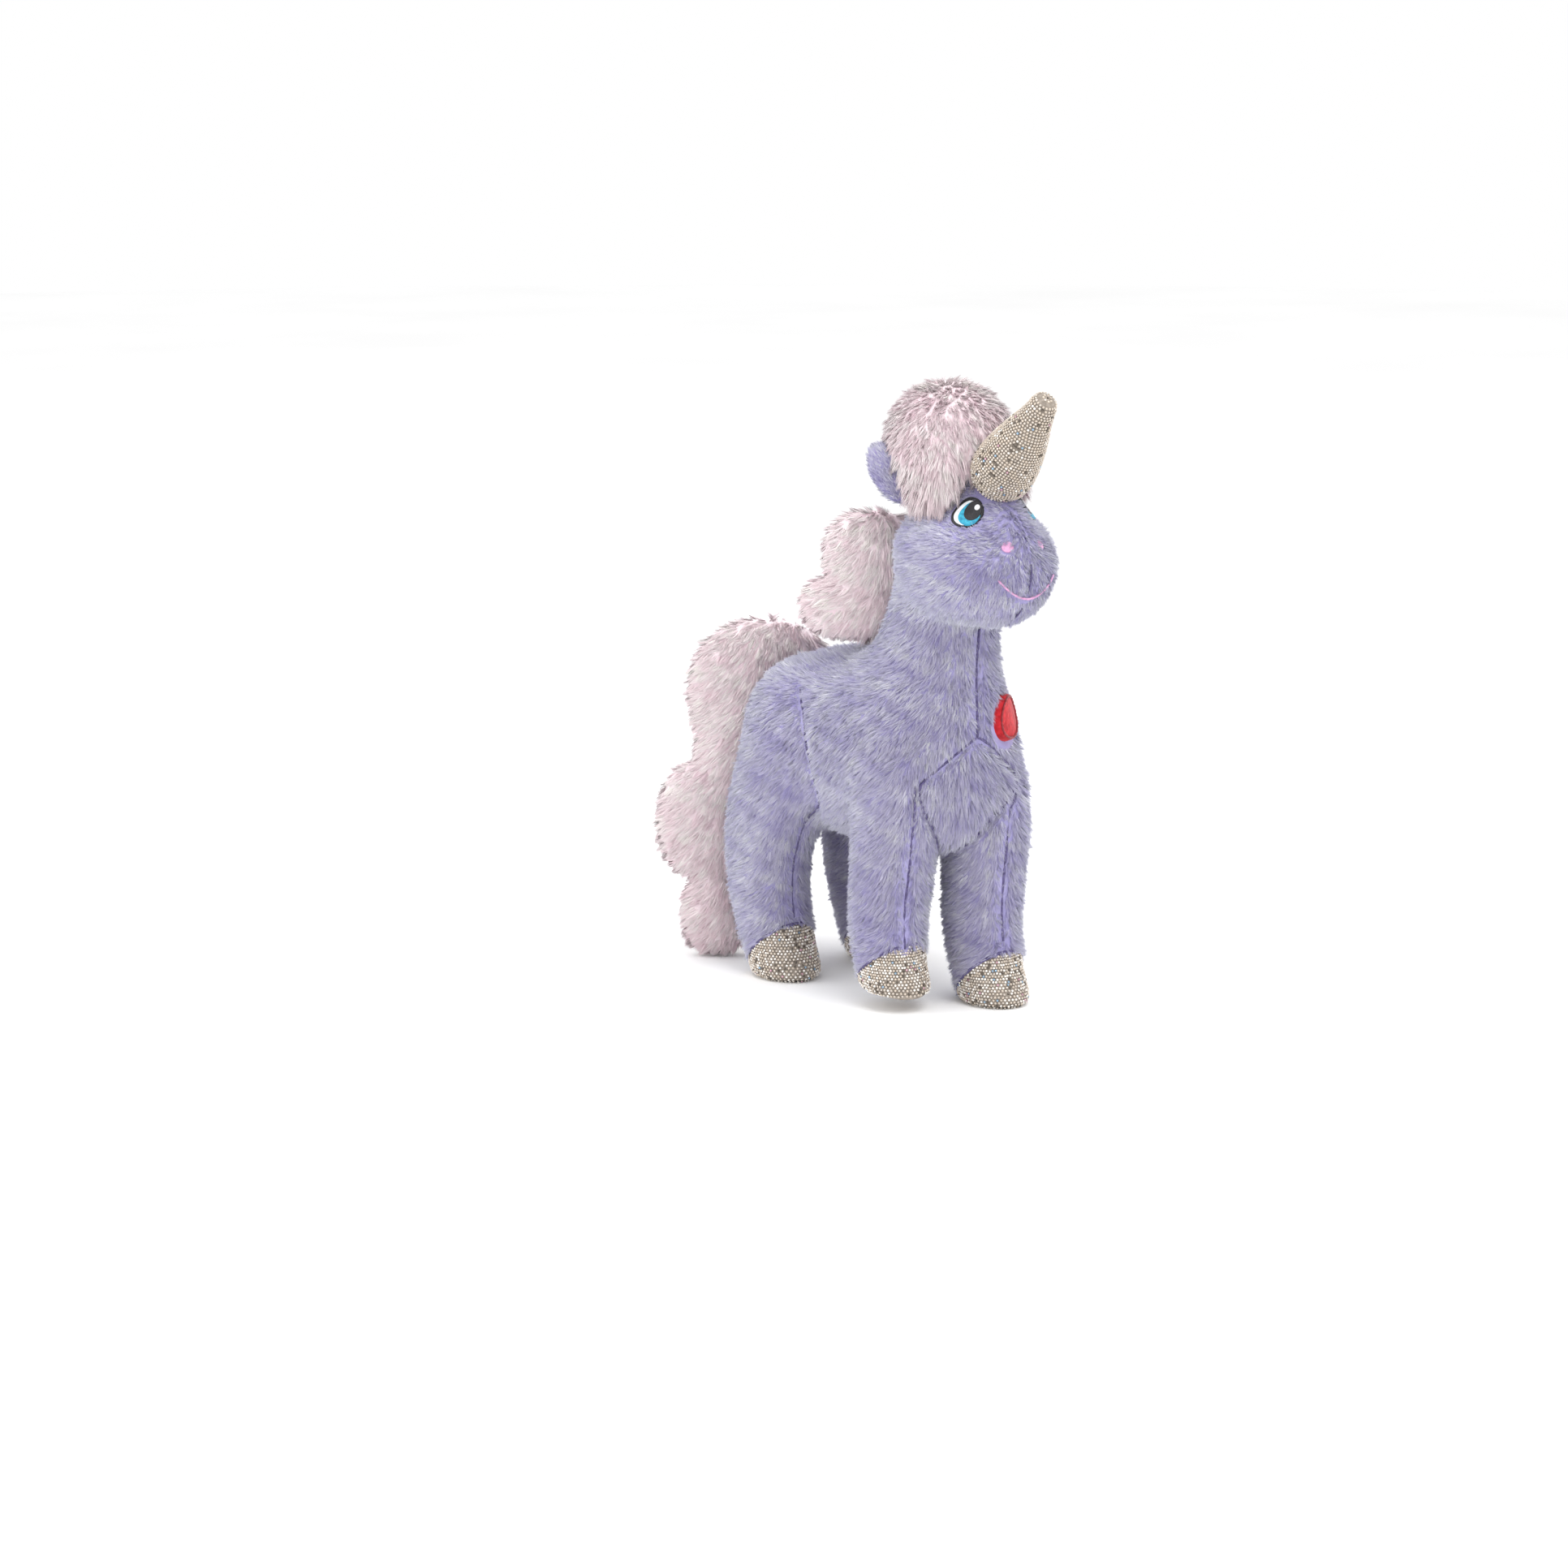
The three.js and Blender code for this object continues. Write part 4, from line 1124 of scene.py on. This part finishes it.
# ---------------------------------------------------------------- patch and label
def disc_on_skin(name, at, radius, material, thick):
    """A thin crowned disc laid over the skin, and the ring of points where it is stitched."""
    rings, spokes = 14, 64
    n = skin.normals(at)[0]
    across = unit(np.cross([0, 0, 1.0], n))
    up = np.cross(n, across)
    share, cosine, sine = polar(rings, spokes)
    flat = np.stack([share * cosine, share * sine], 1)
    points = at + (across * flat[:, :1] + up * flat[:, 1:]) * radius
    basis = np.stack([flat[:, 0] ** i * flat[:, 1] ** j for i in range(3) for j in range(3 - i)], 1)
    depth = np.zeros(len(points))
    for _ in range(8):
        here = points + n * depth[:, None]
        steep = np.maximum(skin_before_seams.normals(here) @ n, 0.4)
        depth -= skin_before_seams.read(here) / steep
    depth = basis @ np.linalg.lstsq(basis, depth, rcond=None)[0]
    height = thick + 0.3 * (1 - share ** 2) - np.where(share > LAST_RING, thick, 0)
    points = points + n * (depth + height)[:, None]
    stitched = (share > 0.85) & (share < 0.9)
    return make(name, points, ring_faces(rings, spokes), [material]), points[stitched]


patch_at = skin.snap(PATCH_AT)[0]
patch, ring = disc_on_skin("chest_patch_felt", patch_at, PATCH_RADIUS, red_felt, 2.5)
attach(patch, "torso")
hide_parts("chest_patch")
edge = rope("chest_patch_stitches", ring + skin.normals(ring) * 0.2, 0.28, red_thread, closed=True,
            lumps=1.2, lump_pitch=2.1)
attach(edge, "torso")

low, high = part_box("care_label")
label_size = (high - low) / MM
label_mid = (low + high) / (2 * MM)
cols, levels = 13, 15
drop = np.repeat(np.arange(levels) / (levels - 1), cols)
s = np.tile(np.arange(cols) / (cols - 1) - 0.5, levels)
open_by = 0.35 * (1 - drop) + 0.15 + 0.3 * np.sin(math.pi * drop)
label_points = []
for layer in (-1, 1):
    x = label_mid.x + layer * open_by + 0.6 * np.sin(2.2 * s) * drop
    y = label_mid.y + s * label_size.y
    z = high.z / MM - drop * label_size.z
    label_points.append(np.stack([ORIGIN - y, x - ORIGIN_LEFT, z], 1))
corner = (np.arange(levels - 1)[:, None] * cols + np.arange(cols - 1)).ravel()
quads = np.stack([corner, corner + 1, corner + cols + 1, corner + cols], 1)
other = cols * levels
fold = (levels - 1) * cols + np.arange(cols - 1)
label_faces = np.concatenate([quads[:, ::-1], quads + other,
                              np.stack([fold, fold + 1, fold + other + 1, fold + other], 1)])
label = make("care_label_ribbon", np.concatenate(label_points), label_faces, [ribbon])
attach(label, "torso")
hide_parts("care_label")

# ---------------------------------------------------------------- stage, light and camera
scene = bpy.context.scene
scene.view_settings.view_transform = "Standard"
world = bpy.data.worlds.new("studio")
world.use_nodes = True
world.node_tree.nodes["Background"].inputs["Color"].default_value = WHITE
world.node_tree.nodes["Background"].inputs["Strength"].default_value = 1.0
scene.world = world

FLOOR_RADIUS = 4.0
rim = np.linspace(0, 2 * math.pi, 64, endpoint=False)
floor_mesh = bpy.data.meshes.new("floor")
floor_mesh.from_pydata([(FLOOR_RADIUS * math.cos(a), FLOOR_RADIUS * math.sin(a), 0.0) for a in rim],
                       [], [list(range(64))])
floor = bpy.data.objects.new("floor", floor_mesh)
scene.collection.objects.link(floor)
floor_mesh.materials.append(mottled("paper_floor", colour("fbfbfb"), colour("ffffff"), 3, 0.02,
                                    roughness=0.9))

AZIMUTH = math.radians(-37)
ELEVATION = math.radians(10)
back = Vector((math.sin(AZIMUTH) * math.cos(ELEVATION), -math.cos(AZIMUTH) * math.cos(ELEVATION),
               math.sin(ELEVATION)))
right = Vector((math.cos(AZIMUTH), math.sin(AZIMUTH), 0))
up = back.cross(right)
DISTANCE = 1.6
VIEW_WIDTH = 0.642715  # metres that the picture spans at the target
SENSOR = 36
AIM_RIGHT = 0.0409  # metres that the view is turned past the target, which sets the toy off centre
AIM_UP = 0.0399
target = Vector(row([(3.7, 0, 125)])[0])
aim = target - right * AIM_RIGHT - up * AIM_UP
camera_data = bpy.data.cameras.new("camera")
camera_data.sensor_width = SENSOR
camera_data.lens = SENSOR * DISTANCE / VIEW_WIDTH
camera_data.clip_end = 20
camera = bpy.data.objects.new("camera", camera_data)
camera.location = target + back * DISTANCE
camera.rotation_mode = "QUATERNION"
camera.rotation_quaternion = (camera.location - aim).to_track_quat("Z", "Y")
scene.collection.objects.link(camera)
scene.camera = camera


def area_light(name, at, aim_at, size, power):
    data = bpy.data.lights.new(name, "AREA")
    data.shape = "RECTANGLE"
    data.size, data.size_y = size
    data.energy = power
    lamp = bpy.data.objects.new(name, data)
    lamp.location = at
    lamp.rotation_mode = "QUATERNION"
    lamp.rotation_quaternion = (Vector(at) - Vector(aim_at)).to_track_quat("Z", "Y")
    scene.collection.objects.link(lamp)


MIDDLE = (0, 0, 0.13)
area_light("key", target + back * 0.9 + right * 0.5 + up * 1.0, MIDDLE, (0.9, 0.9), 8)
area_light("fill", target + back * 0.3 - right * 1.2 + up * 0.4, MIDDLE, (1.0, 1.0), 6)
area_light("top", (0, 0, 1.5), MIDDLE, (1.4, 1.4), 6)
